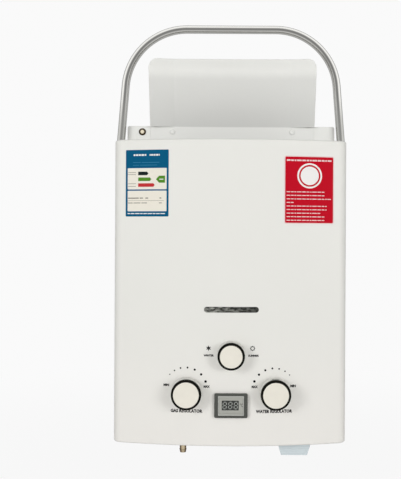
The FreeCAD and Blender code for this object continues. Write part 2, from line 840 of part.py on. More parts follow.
def carry_handle():
    """A bail of round tube whose ends are pressed flat and bored for the pivot bolts."""
    body = new_body("carry_handle")
    path = new_sketch(body, "XZ_Plane", "handle_inset")
    top = f"({ROOF} + handle_rise)"
    centre = f"({top} - handle_bend)"
    points = [(f"-{LEG_FOOT_X}", LEG_FOOT_Z), (f"-{LEG_TOP_X}", LEG_TOP_Z), (f"-{BAR_END}", top)]
    points += [(BAR_END, top), (LEG_TOP_X, LEG_TOP_Z), (LEG_FOOT_X, LEG_FOOT_Z)]
    arcs = {1: (f"-{BAR_END}", centre, False), 3: (BAR_END, centre, False)}
    outline(path, points, arcs, closed=False)
    doc.recompute()
    tube = body.newObject("PartDesign::AdditivePipe", "handle_pipe")
    tube.Profile = round_section(body, path, "handle_section")
    tube.Spine = (path, [f"Edge{number}" for number in range(1, 6)])
    doc.recompute()
    lower = new_sketch(body, "XY_Plane", f"{ROOF} - tab_top_drop")
    half = "(tab_sheet / 2)"
    left = f"(-{TAB_MIDDLE} - {half})"
    front = "-handle_inset - tab_half"
    rear = "-handle_inset + tab_half"
    rectangle(lower, left, f"(-{TAB_MIDDLE} + {half})", front, rear)
    doc.recompute()
    neck = body.newObject("PartDesign::AdditiveLoft", "handle_neck_loft")
    neck.Profile = lower
    neck.Sections = [round_section(body, path, "handle_neck_section")]
    doc.recompute()
    flat = new_sketch(body, "YZ_Plane", left)
    high = f"{ROOF} - tab_top_drop"
    points = [(front, PIVOT_LEVEL), (rear, PIVOT_LEVEL), (rear, high), (front, high)]
    outline(flat, points, {0: ("-handle_inset", PIVOT_LEVEL, True)})
    circle(flat, "-handle_inset", PIVOT_LEVEL, "handle_bolt + pivot_gap")
    mirrored(body, [neck, pad(body, flat, "tab_sheet")])
    return keep(body, "carry_handle")


def round_section(body, path, name):
    """The tube's round section, square to the foot of its left leg."""
    section = body.newObject("Sketcher::SketchObject", name)
    section.AttachmentSupport = [(path, "Edge1")]
    section.MapMode = "NormalToEdge"
    circle(section, "0", "0", "handle_tube")
    doc.recompute()
    return section


def handle_pivots():
    """On each side a bolt through the tab, a washer beside the case wall and a nut inside."""
    outer = f"({SIDE} + tab_gap + tab_sheet + pivot_gap)"
    reach = f"({outer} - {PLATE_SIDE} + back_sheet + nut_height)"
    head = "handle_bolt_head"
    height = "handle_bolt_head_height"
    points = [("0", f"-{reach}"), ("handle_bolt", f"-{reach}"), ("handle_bolt", "0"), (head, "0")]
    points += [(head, f"{height} / 2"), (f"({head} - screw_crown)", height), ("0", height)]
    bolt = turned("handle_bolt_turned", points)
    place(bolt, outer, "-handle_inset", PIVOT_LEVEL, RIGHTWARD)
    keep(grouped("handle_bolt_pair", [bolt, opposite(bolt)]), "handle_bolts")
    thickness = "(tab_gap - pivot_gap)"
    points = [("handle_bolt", "0"), (head, "0"), (head, thickness), ("handle_bolt", thickness)]
    washer = turned("handle_washer_turned", points)
    place(washer, SIDE, "-handle_inset", PIVOT_LEVEL, RIGHTWARD)
    keep(grouped("handle_washer_pair", [washer, opposite(washer)]), "handle_washers")
    seat = (f"({PLATE_SIDE} - back_sheet)", "-handle_inset", PIVOT_LEVEL, LEFTWARD)
    solid = hexagon("handle_nut_hexagon", "nut_radius", "nut_height", *seat)
    bore = rod("handle_nut_bore", "handle_bolt", "nut_height", *seat)
    nut = without("handle_nut", solid, bore)
    keep(grouped("handle_nut_pair", [nut, opposite(nut)]), "handle_nuts")


# ---------------------------------------------------------------- knobs


def knob(name, x, level, radius, shaft_end):
    """A white cap in a dark skirt on a steel shaft; all three turn together."""
    inner = f"({radius} - knob_rim)"
    face = "(knob_depth - cap_crown)"
    seat = f"({face} - cap_seat)"
    points = [("shaft_radius", "0"), (f"({radius} + knob_flare)", "0"), (radius, face)]
    points += [(inner, face), (inner, seat), ("shaft_radius", seat)]
    skirt = turned(f"{name}_skirt_turned", points)
    place(skirt, x, f"-{KNOB_BACK}", level, FORWARD)
    keep(skirt, f"{name}_skirt")
    points = [("0", seat), (inner, seat), (inner, face), (f"({inner} - cap_crown)", "knob_depth")]
    points += [("0", "knob_depth")]
    cap = turned(f"{name}_cap_turned", points, {2: (f"({inner} - cap_crown)", face, True)})
    place(cap, x, f"-{KNOB_BACK}", level, FORWARD)
    keep(cap, f"{name}_cap")
    length = f"({KNOB_BACK} + {seat} - {shaft_end})"
    shaft = rod(f"{name}_shaft_rod", "shaft_radius", length, x, f"-{shaft_end}", level, FORWARD)
    keep(shaft, f"{name}_shaft")


def knobs():
    level = f"({FLOOR} + knob_level)"
    end = "(valve_front - shaft_engage + gland_length)"
    knob("gas_knob", LEFT_KNOB, level, "knob_radius", end)
    knob("water_knob", RIGHT_KNOB, level, "knob_radius", end)
    end = "(season_valve_front - shaft_engage)"
    knob("season_knob", "control_shift", f"({FLOOR} + season_level)", "season_radius", end)


# ---------------------------------------------------------------- display


def display():
    level = f"({FLOOR} + display_level)"
    body = new_body("display_bezel")
    half_width = "(bezel_width / 2)"
    half_height = "(bezel_height / 2)"

    def ring(offset, inset, radius=None):
        sketch = new_sketch(body, "XZ_Plane", offset)
        left = f"control_shift - {half_width} + {inset}"
        right = f"control_shift + {half_width} - {inset}"
        low = f"{level} - {half_height} + {inset}"
        high = f"{level} + {half_height} - {inset}"
        return rectangle(sketch, left, right, low, high, radius)

    rear = "(case_depth + fit_gap)"
    pad(body, ring(rear, "0", "bezel_corner"), "bezel_proud")
    pad(body, ring(rear, "bezel_frame / 2"), "bezel_neck", backwards=True)
    front = f"({rear} + bezel_proud)"
    pocket(body, ring(front, "bezel_frame"))
    keep(body, "display_bezel")
    gap = "(bezel_frame + fit_gap / 3)"
    window = new_body("display_window")
    sketch = new_sketch(window, "XZ_Plane", f"{front} - window_recess - window_sheet")
    left = f"control_shift - {half_width} + {gap}"
    right = f"control_shift + {half_width} - {gap}"
    low = f"{level} - {half_height} + {gap}"
    high = f"{level} + {half_height} - {gap}"
    rectangle(sketch, left, right, low, high)
    pad(window, sketch, "window_sheet")
    keep(window, "display_window")
    back = f"({rear} - bezel_neck)"
    left = "control_shift - board_width / 2"
    right = "control_shift + board_width / 2"
    board = block("display_board_sheet", left, right, f"-{back}", f"-{back} + board_sheet",
                  f"{level} - board_height / 2", f"{level} + board_height / 2")
    return keep(board, "display_board")


# ---------------------------------------------------------------- burner, chamber, exchanger


def stack_ring(name, bottom, top):
    """A four-sided sheet duct, open above and below."""
    body = new_body(name)
    plan = new_sketch(body, "XY_Plane", bottom)
    rectangle(plan, f"-{STACK_SIDE}", STACK_SIDE, STACK_FRONT, "-stack_back")
    pad(body, plan, f"({top}) - ({bottom})")
    inside = new_sketch(body, "XY_Plane", bottom)
    side = f"({STACK_SIDE} - stack_sheet)"
    rectangle(inside, f"-{side}", side, f"{STACK_FRONT} + stack_sheet", "-(stack_back + stack_sheet)")
    pocket(body, inside, backwards=True)
    return body


def burner():
    """The burner frame on its two legs and the row of slotted burner bars inside it."""
    bottom = f"({FLOOR} + frame_bottom)"
    top = f"({FLOOR} + chamber_bottom)"
    body = stack_ring("burner_frame", bottom, top)
    legs = new_sketch(body, "XY_Plane", bottom)
    for sign in ("-", ""):
        middle = f"{sign}bracket_width / 2"
        rectangle(legs, f"{middle} - bar_width / 2", f"{middle} + bar_width / 2", "-stack_back", PLATE_FRONT)
    pad(body, legs, "bracket_height")
    first = "(-(bar_count - 1) * bar_pitch / 2)"
    mouths = new_sketch(body, "XZ_Plane", f"-({STACK_FRONT}) + wall")
    circle(mouths, first, f"{bottom} + jet_level", "mouth_radius")
    cut = pocket(body, mouths, f"stack_sheet + {WALL_CUT}")
    pattern(body, cut, "X_Axis", "bar_pitch", "bar_count", "burner_mouths")
    keep(body, "burner_frame")
    bars = new_body("burner_bars")
    bars.AllowCompound = True
    front = f"({STACK_FRONT} + stack_sheet)"
    back = "(-stack_back - stack_sheet)"
    waist = f"({bottom} + bar_height / 2)"
    high = f"({bottom} + bar_height)"
    throat = f"({STACK_MIDDLE} + burner_throat)"
    side = new_sketch(bars, "YZ_Plane", f"{first} - bar_width / 2")
    outline(side, [(front, bottom), (throat, bottom), (back, waist), (back, high), (front, high)])
    bar = pad(bars, side, "bar_width")
    pattern(bars, bar, "X_Axis", "bar_pitch", "bar_count", "burner_bar_row")
    pitch = f"({STACK_DEPTH} / (bar_slot_count + 1))"
    ports = new_sketch(bars, "XY_Plane", high)
    start = f"{front} + {pitch} / 2"
    rectangle(ports, f"-{STACK_SIDE}", STACK_SIDE, start, f"{start} + bar_slot")
    cut = pocket(bars, ports, "bar_slot_depth")
    pattern(bars, cut, "Y_Axis", pitch, "bar_slot_count", "burner_ports")
    return keep(bars, "burner_bars")


def gas_manifold():
    """The cross bar that feeds the burner, with one brass jet facing each burner mouth."""
    first = "(-(bar_count - 1) * bar_pitch / 2)"
    back = MANIFOLD_BACK
    front = f"({back} - manifold_depth)"
    top = f"({MANIFOLD_BOTTOM} + manifold_height)"
    reach = f"(-{first} + bar_width / 2)"
    bar = block("manifold_bar", f"-{STACK_SIDE}", STACK_SIDE, front, back, MANIFOLD_BOTTOM, top)
    left = block("manifold_foot_left", f"-{STACK_SIDE}", f"-{reach}", back, STACK_FRONT, MANIFOLD_BOTTOM, top)
    right = block("manifold_foot_right", reach, STACK_SIDE, back, STACK_FRONT, MANIFOLD_BOTTOM, top)
    keep(joined("manifold_body", [bar, left, right]), "gas_manifold")
    jets = new_body("gas_jet_row")
    jets.AllowCompound = True
    level = f"{MANIFOLD_BOTTOM} + jet_level"
    jet = pad(jets, circle(new_sketch(jets, "XZ_Plane", f"-{back}"), first, level, "jet_radius"),
              "manifold_gap - fit_gap", backwards=True)
    pattern(jets, jet, "X_Axis", "bar_pitch", "bar_count", "jet_row")
    return keep(jets, "gas_jets")


def combustion_chamber():
    body = stack_ring("combustion_chamber", f"({FLOOR} + chamber_bottom)", f"({FLOOR} + fins_bottom)")
    face = new_sketch(body, "XZ_Plane", f"-({STACK_FRONT}) + wall")
    long_slot(face, "control_shift", f"{FLOOR} + slot_level", "slot_length", "sight_height")
    for sign in ("-", ""):
        circle(face, f"{sign}probe_spacing / 2", f"{FLOOR} + probe_level", "probe_radius")
    pocket(body, face, f"stack_sheet + {WALL_CUT}")
    keep(body, "combustion_chamber")
    for name, sign in (("flame_sensor", "-"), ("ignition_electrode", "")):
        x = f"{sign}probe_spacing / 2"
        front = f"({STACK_FRONT} - probe_outside)"
        level = f"{FLOOR} + probe_level"
        pin = rod(f"{name}_rod", "probe_radius", "probe_length", x, front, level, BACKWARD)
        keep(pin, name)
    bottom = f"({FLOOR} + bracket_level)"
    top = f"({bottom} + bracket_height)"
    half = "(bracket_width / 2)"
    solid = block("bracket_block", f"-{half}", half, "-stack_back", PLATE_FRONT, bottom, top)
    inner = f"({half} - bracket_sheet)"
    front = "-stack_back + bracket_sheet"
    back = f"{PLATE_FRONT} - bracket_sheet"
    hollow = block("bracket_hollow", f"-{inner}", inner, front, back, f"{bottom} - wall", f"{top} + wall")
    keep(without("bracket_channel", solid, hollow), "chamber_bracket")
    sensor = rod("sensor_disc", "sensor_radius", "sensor_height", f"-{STACK_SIDE}", STACK_MIDDLE,
                 f"{FLOOR} + sensor_level", LEFTWARD)
    return keep(sensor, "overheat_sensor")


def tube_centre(number):
    """Place of one of the five exchanger tubes, in a zigzag from the front to the back."""
    y = f"({STACK_MIDDLE} + {number - 2} * tube_pitch / 2)"
    return y, (TUBE_HIGH if number % 2 else TUBE_LOW)


def heat_exchanger():
    """A row of copper fins on five tubes that return bends join into one water way."""
    fins = new_body("heat_exchanger_fins")
    fins.AllowCompound = True
    plan = new_sketch(fins, "YZ_Plane", f"-{STACK_SIDE} + fin_margin")
    rectangle(plan, STACK_FRONT, "-stack_back", f"{FLOOR} + fins_bottom", f"{FLOOR} + fins_top")
    for number in range(5):
        circle(plan, *tube_centre(number), "tube_radius")
    fin = pad(fins, plan, "fin_sheet")
    pitch = "((stack_width - 2 * fin_margin - fin_sheet) / (fin_count - 1))"
    pattern(fins, fin, "X_Axis", pitch, "fin_count", "fin_row")
    keep(fins, "heat_exchanger_fins")
    parts = []
    for number in range(5):
        y, z = tube_centre(number)
        name = f"tube_{number}"
        parts.append(rod(name, "tube_radius", f"2 * {TUBE_END}", f"-{TUBE_END}", y, z, RIGHTWARD))
    for number in range(4):
        y, z = tube_centre(number)
        next_y, next_z = tube_centre(number + 1)
        across = Vector(0, value(next_y) - value(y), value(next_z) - value(z))
        outward = Vector(1 if number % 2 else -1, 0, 0)
        bend = doc.addObject("Part::Torus", f"return_bend_{number}")
        bend.Angle3 = 180
        bend.Placement.Rotation = Rotation(across, outward, Vector(), "XYZ")
        bind(bend, {"Radius1": TUBE_BEND, "Radius2": "tube_radius"})
        x = TUBE_END if number % 2 else f"-{TUBE_END}"
        sizes = {"x": x, "y": f"({y} + {next_y}) / 2", "z": f"({z} + {next_z}) / 2"}
        bind(bend, {f"Placement.Base.{axis}": text for axis, text in sizes.items()})
        parts.append(bend)
    return keep(joined("exchanger_tube_run", parts), "exchanger_tubes")


def flue_collector():
    """The hood on the exchanger that narrows to the exhaust neck in the top panel."""
    body = new_body("flue_collector")
    bottom = f"({FLOOR} + fins_top)"
    middle = f"({FLOOR} + neck_bottom)"
    top = f"({ROOF} + neck_proud)"

    def level(height, inset, neck):
        sketch = new_sketch(body, "XY_Plane", height)
        if neck:
            half = f"(neck_width / 2 - {inset})"
            front = f"-(neck_back + neck_depth - {inset})"
            rectangle(sketch, f"-{half}", half, front, f"-(neck_back + {inset})")
        else:
            half = f"({STACK_SIDE} - {inset})"
            rectangle(sketch, f"-{half}", half, f"{STACK_FRONT} + {inset}", f"-(stack_back + {inset})")
        return sketch

    shell = body.newObject("PartDesign::AdditiveLoft", "collector_outside")
    shell.Profile = level(bottom, "0", False)
    shell.Sections = [level(middle, "0", True)]
    doc.recompute()
    pad(body, level(middle, "0", True), f"{top} - {middle}")
    hollow = body.newObject("PartDesign::SubtractiveLoft", "collector_inside")
    hollow.Profile = level(bottom, "stack_sheet", False)
    hollow.Sections = [level(middle, "stack_sheet", True)]
    doc.recompute()
    pocket(body, level(middle, "stack_sheet", True), backwards=True)
    return keep(body, "flue_collector")


# ---------------------------------------------------------------- valves


def gland(name, x, length):
    """The collar that guides a control shaft on the front of a valve."""
    level = f"{FLOOR} + knob_level"
    return rod(name, "gland_radius", length, x, "-valve_front", level, FORWARD)


def shaft_bore(name, x, front, level):
    """The blind hole for a control shaft, from the valve's front face inwards."""
    depth = "(shaft_engage + fit_gap)"
    return rod(name, "shaft_radius + pivot_gap", depth, x, f"-{front}", level, BACKWARD)


def bolt_circle(body):
    """Screw holes right round a disc that is turned about its own axis."""
    sketch = circle(new_sketch(body, "XY_Plane"), "valve_screw_circle", "0", "screw_radius")
    before = body.Shape.Volume
    hole = body.newObject("PartDesign::Pocket", f"{body.Name}_hole")
    hole.Profile = sketch
    hole.Type = "ThroughAll"
    hole.Midplane = True
    doc.recompute()
    if body.Shape.Volume >= before:
        raise RuntimeError("the screw hole cuts nothing")
    ring = body.newObject("PartDesign::PolarPattern", f"{body.Name}_holes")
    ring.Originals = [hole]
    ring.Axis = ([item for item in body.Origin.OriginFeatures if item.Role == "Z_Axis"][0], [""])
    ring.Angle = 360
    bind(ring, {"Occurrences": "valve_screw_count"})
    body.Tip = ring
    doc.recompute()
    return body


VALVE_BOTTOM = f"({FLOOR} + valve_bottom)"
VALVE_TOP = f"({FLOOR} + valve_top)"
KNOB_LEVEL = f"({FLOOR} + knob_level)"
GLAND_FRONT = "(valve_front + gland_length)"
COVER_LEFT = "(-gas_valve_right)"
COVER_FACE = f"({COVER_LEFT} + valve_cover_neck + valve_cover)"


def gas_valve():
    right = "-gas_valve_right"
    casting = block("gas_valve_block", "-gas_valve_left", right, "-valve_front", "-valve_back",
                    VALVE_BOTTOM, VALVE_TOP)
    collar = gland("gas_valve_gland", LEFT_KNOB, "gland_length")
    shaft = shaft_bore("gas_shaft_bore", LEFT_KNOB, GLAND_FRONT, KNOB_LEVEL)
    depth = "(rod_engage + rod_travel + fit_gap)"
    bore = "rod_radius + pivot_gap"
    way = rod("push_rod_bore", bore, depth, right, "-diaphragm_axis", KNOB_LEVEL, LEFTWARD)
    solid = joined("gas_valve_solid", [casting, collar])
    keep(without("gas_valve_casting", solid, joined("gas_valve_bores", [shaft, way])), "gas_valve_body")
    step = "(solenoid_length - solenoid_stem_length)"
    points = [("0", "0"), ("solenoid_radius", "0"), ("solenoid_radius", step), ("solenoid_stem", step)]
    points += [("solenoid_stem", "solenoid_length"), ("0", "solenoid_length")]
    coil = turned("solenoid_turned", points)
    place(coil, "-gas_valve_left", "-diaphragm_axis", KNOB_LEVEL, LEFTWARD)
    keep(coil, "gas_solenoid")
    switch = block("switch_block", f"{LEFT_KNOB} - switch_length / 2", f"{LEFT_KNOB} + switch_length / 2",
                   "-valve_back - switch_depth", "-valve_back", VALVE_TOP, f"{VALVE_TOP} + switch_height")
    keep(switch, "microswitch")
    left = "control_shift - season_valve_width / 2"
    right = "control_shift + season_valve_width / 2"
    solid = block("season_valve_block", left, right, "-season_valve_front",
                  "-season_valve_front + season_valve_depth", VALVE_TOP, MANIFOLD_BOTTOM)
    bore = shaft_bore("season_shaft_bore", "control_shift", "season_valve_front", f"{FLOOR} + season_level")
    keep(without("season_valve_casting", solid, bore), "season_valve")


def water_valve():
    """Two flanged halves with the diaphragm between them and the push rod towards the gas valve."""
    bore = "(rod_radius + pivot_gap)"
    neck = "valve_cover_neck"
    end = "(valve_cover_neck + valve_cover)"
    floor = f"({end} - cavity_depth)"
    points = [(bore, "0"), ("gland_radius", "0"), ("gland_radius", neck), ("diaphragm_radius", neck)]
    points += [("diaphragm_radius", end), ("cavity_radius", end), ("cavity_radius", floor), (bore, floor)]
    cover = bolt_circle(turned("water_valve_cover_turned", points))
    place(cover, COVER_LEFT, "-diaphragm_axis", KNOB_LEVEL, RIGHTWARD)
    keep(cover, "water_valve_cover")
    sheet_points = [("0", "0"), ("diaphragm_radius", "0"), ("diaphragm_radius", "diaphragm_sheet")]
    disc = bolt_circle(turned("diaphragm_turned", [*sheet_points, ("0", "diaphragm_sheet")]))
    place(disc, COVER_FACE, "-diaphragm_axis", KNOB_LEVEL, RIGHTWARD)
    keep(disc, "diaphragm")
    face = f"({COVER_FACE} + diaphragm_sheet)"
    thickness = f"(water_valve_left - {face})"
    points = [("0", "0"), ("diaphragm_radius", "0"), ("diaphragm_radius", thickness), ("0", thickness)]
    flange = bolt_circle(turned("water_valve_flange", points))
    place(flange, face, "-diaphragm_axis", KNOB_LEVEL, RIGHTWARD)
    casting = block("water_valve_block", "water_valve_left", "water_valve_right",
                    "-valve_front", "-valve_back", VALVE_BOTTOM, VALVE_TOP)
    collar = gland("water_valve_gland", RIGHT_KNOB, "gland_length")
    shaft = shaft_bore("water_shaft_bore", RIGHT_KNOB, GLAND_FRONT, KNOB_LEVEL)
    solid = joined("water_valve_solid", [casting, collar, flange])
    keep(without("water_valve_casting", solid, shaft), "water_valve_body")
    length = f"(rod_engage + {end})"
    shoulder = f"{length} - rod_head"
    points = [("0", "0"), ("rod_radius", "0"), ("rod_radius", shoulder)]
    points += [("rod_head_radius", shoulder), ("rod_head_radius", length), ("0", length)]
    rod_body = turned("push_rod_turned", points)
    place(rod_body, f"{COVER_LEFT} - rod_engage", "-diaphragm_axis", KNOB_LEVEL, RIGHTWARD)
    keep(rod_body, "push_rod")
    screws = []
    reach = f"({thickness} + diaphragm_sheet + valve_cover)"
    for number in range(int(value("valve_screw_count"))):
        angle = f"({number} * 360 / valve_screw_count)"
        name = f"valve_screw_{number}"
        screw = pan_screw(name, "screw_radius", "screw_head_radius", "screw_head", reach)
        y = f"-diaphragm_axis + valve_screw_circle * sin({angle})"
        z = f"{KNOB_LEVEL} - valve_screw_circle * cos({angle})"
        screws.append(place(screw, f"{COVER_LEFT} + {neck}", y, z, LEFTWARD))
    keep(grouped("valve_screw_set", screws), "valve_screws")


# ---------------------------------------------------------------- water and gas connections


def fitting(name, x, y, top, label):
    """A threaded stub that a shoulder below the bottom plate and a hexagon above it clamp there."""
    bottom = f"({FLOOR} - thread_drop)"
    length = f"{top} - {bottom}"
    stub = rod(f"{name}_stub", "thread_radius", length, x, y, bottom)
    seat = f"{FLOOR} + wall - shoulder_height"
    collar = rod(f"{name}_collar", "thread_radius + shoulder", "shoulder_height", x, y, seat)
    nut = hexagon(f"{name}_hexagon", "lock_nut", "lock_nut_height", x, y, DECK)
    bore = rod(f"{name}_bore", "pipe_radius - wall", length, x, y, bottom)
    return keep(without(f"{name}_fitting", joined(f"{name}_solid", [stub, collar, nut]), bore), label)


def connections():
    fitting("cold", "cold_offset", "-cold_back", VALVE_BOTTOM, "cold_inlet_fitting")
    fitting("hot", f"-{HOT_X}", HOT_BACK, f"({FLOOR} + hot_top)", "hot_outlet_fitting")
    bottom = f"({FLOOR} - gas_drop)"
    length = f"({VALVE_BOTTOM} - {bottom})"
    collar = "(gas_drop - wall)"
    shoulder = "(gas_barb - gas_nipple)"
    points = [("gas_bore", "0"), ("gas_tip", "0"), ("gas_barb", "gas_barb_length")]
    points += [("gas_nipple", f"gas_barb_length + {shoulder}"), ("gas_nipple", "gas_barb_pitch")]
    points += [("gas_barb", "gas_barb_pitch + gas_barb_length")]
    points += [("gas_nipple", f"gas_barb_pitch + gas_barb_length + {shoulder}"), ("gas_nipple", collar)]
    points += [("gas_shank", collar), ("gas_shank", length), ("gas_bore", length)]
    nipple = turned("gas_inlet_turned", points)
    place(nipple, "-gas_offset", "-gas_back", bottom)
    keep(nipple, "gas_inlet_fitting")
    length = f"({VALVE_BOTTOM} - {FLOOR} + drain_drop)"
    head = "drain_head_height"
    points = [("0", "0"), ("drain_head", "0"), ("drain_head", head), ("drain_radius", head)]
    plug = turned("drain_plug_turned", [*points, ("drain_radius", length), ("0", length)])
    place(plug, "drain_offset", "-drain_back", f"{FLOOR} - drain_drop")
    keep(plug, "drain_plug")
    front_y, low_z = tube_centre(0)
    riser = HOT_X
    start_z = VALVE_TOP
    turn_z = f"({VALVE_TOP} + pipe_bend)"
    route = [("drain_offset", front_y, start_z), ("drain_offset", front_y, turn_z), (riser, front_y, turn_z)]
    route += [(riser, front_y, low_z), (TUBE_END, front_y, low_z)]
    bent_pipe("cold_pipe", route, "pipe_radius", "pipe_bend")
    back_y, low_z = tube_centre(4)
    route = [(f"-{TUBE_END}", back_y, low_z), (f"-{riser}", back_y, low_z)]
    route.append((f"-{riser}", back_y, f"({FLOOR} + hot_top)"))
    bent_pipe("hot_pipe", route, "pipe_radius", "pipe_bend")


def bent_pipe(label, route, radius, bend):
    """A round bar along straight runs that arcs of one radius join."""
    points = [Vector(value(x), value(y), value(z)) for x, y, z in route]
    size = value(bend)
    edges = []
    start = points[0]
    for before, corner, after in zip(points, points[1:], points[2:]):
        towards = (before - corner).normalize()
        away = (after - corner).normalize()
        half_angle = towards.getAngle(away) / 2
        setback = size / math.tan(half_angle)
        first = corner + towards * setback
        last = corner + away * setback
        middle_line = (towards + away).normalize()
        centre = corner + middle_line * (size / math.sin(half_angle))
        if (first - start).Length > 0.001:
            edges.append(Part.LineSegment(start, first).toShape())
        edges.append(Part.Arc(first, centre - middle_line * size, last).toShape())
        start = last
    if (points[-1] - start).Length > 0.001:
        edges.append(Part.LineSegment(start, points[-1]).toShape())
    spine = Part.Wire(edges)
    ring = Part.Wire(Part.Circle(points[0], points[1] - points[0], value(radius)).toShape())
    item = doc.addObject("Part::Feature", f"{label}_sweep")
    item.Shape = spine.makePipeShell([ring], True, True)
    item.Placement = FreeCAD.Placement()
    return keep(item, label)


# ---------------------------------------------------------------- battery box and igniter

BATTERY_LEFT = f"({BATTERY_MIDDLE} - battery_width / 2)"
BATTERY_RIGHT = f"({BATTERY_MIDDLE} + battery_width / 2)"
BATTERY_REAR = "(-(battery_front - battery_depth))"
RIM_TOP = f"({FLOOR} + wall)"
RIM_BOTTOM = f"({RIM_TOP} - battery_wall)"
LID_TOP = f"({RIM_BOTTOM} - lid_gap)"
LID_BOTTOM = f"({FLOOR} - lid_drop)"
PIN_Y = f"({BATTERY_REAR} + lid_pin_lug + lid_gap)"
PIN_Z = f"({RIM_BOTTOM} - lid_pin_lug)"
CELL_TOP = f"({FLOOR} + battery_top - battery_wall - contact_sheet)"
CELL_BOTTOM = f"({CELL_TOP} - cell_cap - cell_height)"


def battery_box():
    body = new_body("battery_box")
    outside = new_sketch(body, "XY_Plane", RIM_BOTTOM)
    rectangle(outside, BATTERY_LEFT, BATTERY_RIGHT, "-battery_front", BATTERY_REAR)
    pad(body, outside, f"{FLOOR} + battery_top - {RIM_BOTTOM}")
    rim = new_sketch(body, "XY_Plane", RIM_BOTTOM)
    rectangle(rim, f"{BATTERY_LEFT} - battery_rim", f"{BATTERY_RIGHT} + battery_rim",
              "-battery_front - battery_rim", f"{PIN_Y} + lid_pin_lug")
    pad(body, rim, "battery_wall")
    inside = new_sketch(body, "XY_Plane", RIM_BOTTOM)
    rectangle(inside, f"{BATTERY_LEFT} + battery_wall", f"{BATTERY_RIGHT} - battery_wall",
              "-battery_front + battery_wall", f"{BATTERY_REAR} - battery_wall")
    pocket(body, inside, f"{FLOOR} + battery_top - battery_wall - {RIM_BOTTOM}", backwards=True)
    for sign in ("-", "+"):
        middle = f"({BATTERY_MIDDLE} {sign} 2 * lid_lug_width)"
        lug = new_sketch(body, "YZ_Plane", f"{middle} - lid_lug_width / 2")
        front = f"{PIN_Y} - lug_neck"
        rear = f"{PIN_Y} + lug_neck"
        points = [(front, PIN_Z), (rear, PIN_Z), (rear, RIM_BOTTOM), (front, RIM_BOTTOM)]
        outline(lug, points, {0: (PIN_Y, PIN_Z, True)})
        circle(lug, PIN_Y, PIN_Z, "lid_pin")
        pad(body, lug, "lid_lug_width")
    keep(body, "battery_box")
    left = f"{BATTERY_MIDDLE} - lid_pin_length / 2"
    pin = rod("lid_pin_rod", "lid_pin", "lid_pin_length", left, PIN_Y, PIN_Z, RIGHTWARD)
    keep(pin, "lid_hinge_pin")


def battery_lid():
    """The tapered tray below the box; a knuckle behind it turns on the hinge pin."""
    body = new_body("battery_lid")
    small_left = f"({BATTERY_MIDDLE} - lid_width / 2)"
    small_right = f"({BATTERY_MIDDLE} + lid_width / 2)"
    slope = "((battery_depth - lid_taper_depth) / 2)"
    top = new_sketch(body, "XY_Plane", LID_TOP)
    rectangle(top, BATTERY_LEFT, BATTERY_RIGHT, "-battery_front", BATTERY_REAR)
    bottom = new_sketch(body, "XY_Plane", LID_BOTTOM)
    rectangle(bottom, small_left, small_right, f"-battery_front + {slope}", f"{BATTERY_REAR} - {slope}")
    tray = body.newObject("PartDesign::AdditiveLoft", "lid_tray")
    tray.Profile = bottom
    tray.Sections = [top]
    doc.recompute()
    inside = new_sketch(body, "XY_Plane", f"{LID_BOTTOM} + battery_wall")
    rectangle(inside, f"{small_left} + battery_wall", f"{small_right} - battery_wall",
              f"-battery_front + {slope} + battery_wall", f"{BATTERY_REAR} - {slope} - battery_wall")
    pocket(body, inside, backwards=True)
    knuckle = new_sketch(body, "YZ_Plane", BATTERY_MIDDLE)
    radius = "(lid_pin_lug - lid_gap)"
    inner = f"({BATTERY_REAR} - battery_wall)"
    low = f"({PIN_Z} - {radius})"
    points = [(inner, low), (PIN_Y, low), (PIN_Y, f"({PIN_Z} + {radius})"), (inner, PIN_Z)]
    outline(knuckle, points, {1: (PIN_Y, PIN_Z, True)})
    circle(knuckle, PIN_Y, PIN_Z, "lid_pin + pivot_gap")
    pad(body, knuckle, "2 * lid_lug_width", middle=True)
    keep(body, "battery_lid")
    plate_top = f"({LID_BOTTOM} + battery_wall + contact_sheet)"
    margin = "2 * battery_wall"
    front = f"-battery_front + {slope} + {margin}"
    back = f"{BATTERY_REAR} - {slope} - {margin}"
    plate = block("lid_contact_plate", f"{small_left} + {margin}", f"{small_right} - {margin}",
                  front, back, f"{LID_BOTTOM} + battery_wall", plate_top)
    springs = [plate]
    for number, y in enumerate(cell_places()):
        height = f"{CELL_BOTTOM} - fit_gap - {plate_top}"
        springs.append(rod(f"lid_spring_{number}", "cell_cap_radius", height, BATTERY_MIDDLE, y, plate_top))
    keep(joined("lid_contact_set", springs), "lid_contacts")


def cell_places():
    middle = f"({BATTERY_REAR} - battery_depth / 2)"
    apart = "(cell_radius + cell_gap / 2)"
    return f"({middle} - {apart})", f"({middle} + {apart})"


def batteries():
    cells = []
    points = [("0", "0"), ("cell_radius", "0"), ("cell_radius", "cell_height")]
    points += [("cell_cap_radius", "cell_height"), ("cell_cap_radius", "cell_height + cell_cap")]
    points.append(("0", "cell_height + cell_cap"))
    contacts = []
    for number, y in enumerate(cell_places()):
        cell = turned(f"battery_cell_{number}", points)
        cells.append(place(cell, BATTERY_MIDDLE, y, CELL_BOTTOM))
        name = f"battery_contact_{number}"
        contacts.append(rod(name, "cell_radius / 2", "contact_sheet", BATTERY_MIDDLE, y, CELL_TOP))
    keep(grouped("battery_cell_pair", cells), "batteries")
    keep(grouped("battery_contact_pair", contacts), "battery_contacts")


def igniter():
    bottom = f"({FLOOR} + igniter_bottom)"
    top = f"({FLOOR} + igniter_top)"
    right = f"({SIDE} - igniter_side_gap)"
    left = f"{right} - igniter_width"
    box = block("igniter_block", left, right, "-igniter_depth", PLATE_FRONT, bottom, top)
    keep(box, "igniter_box")


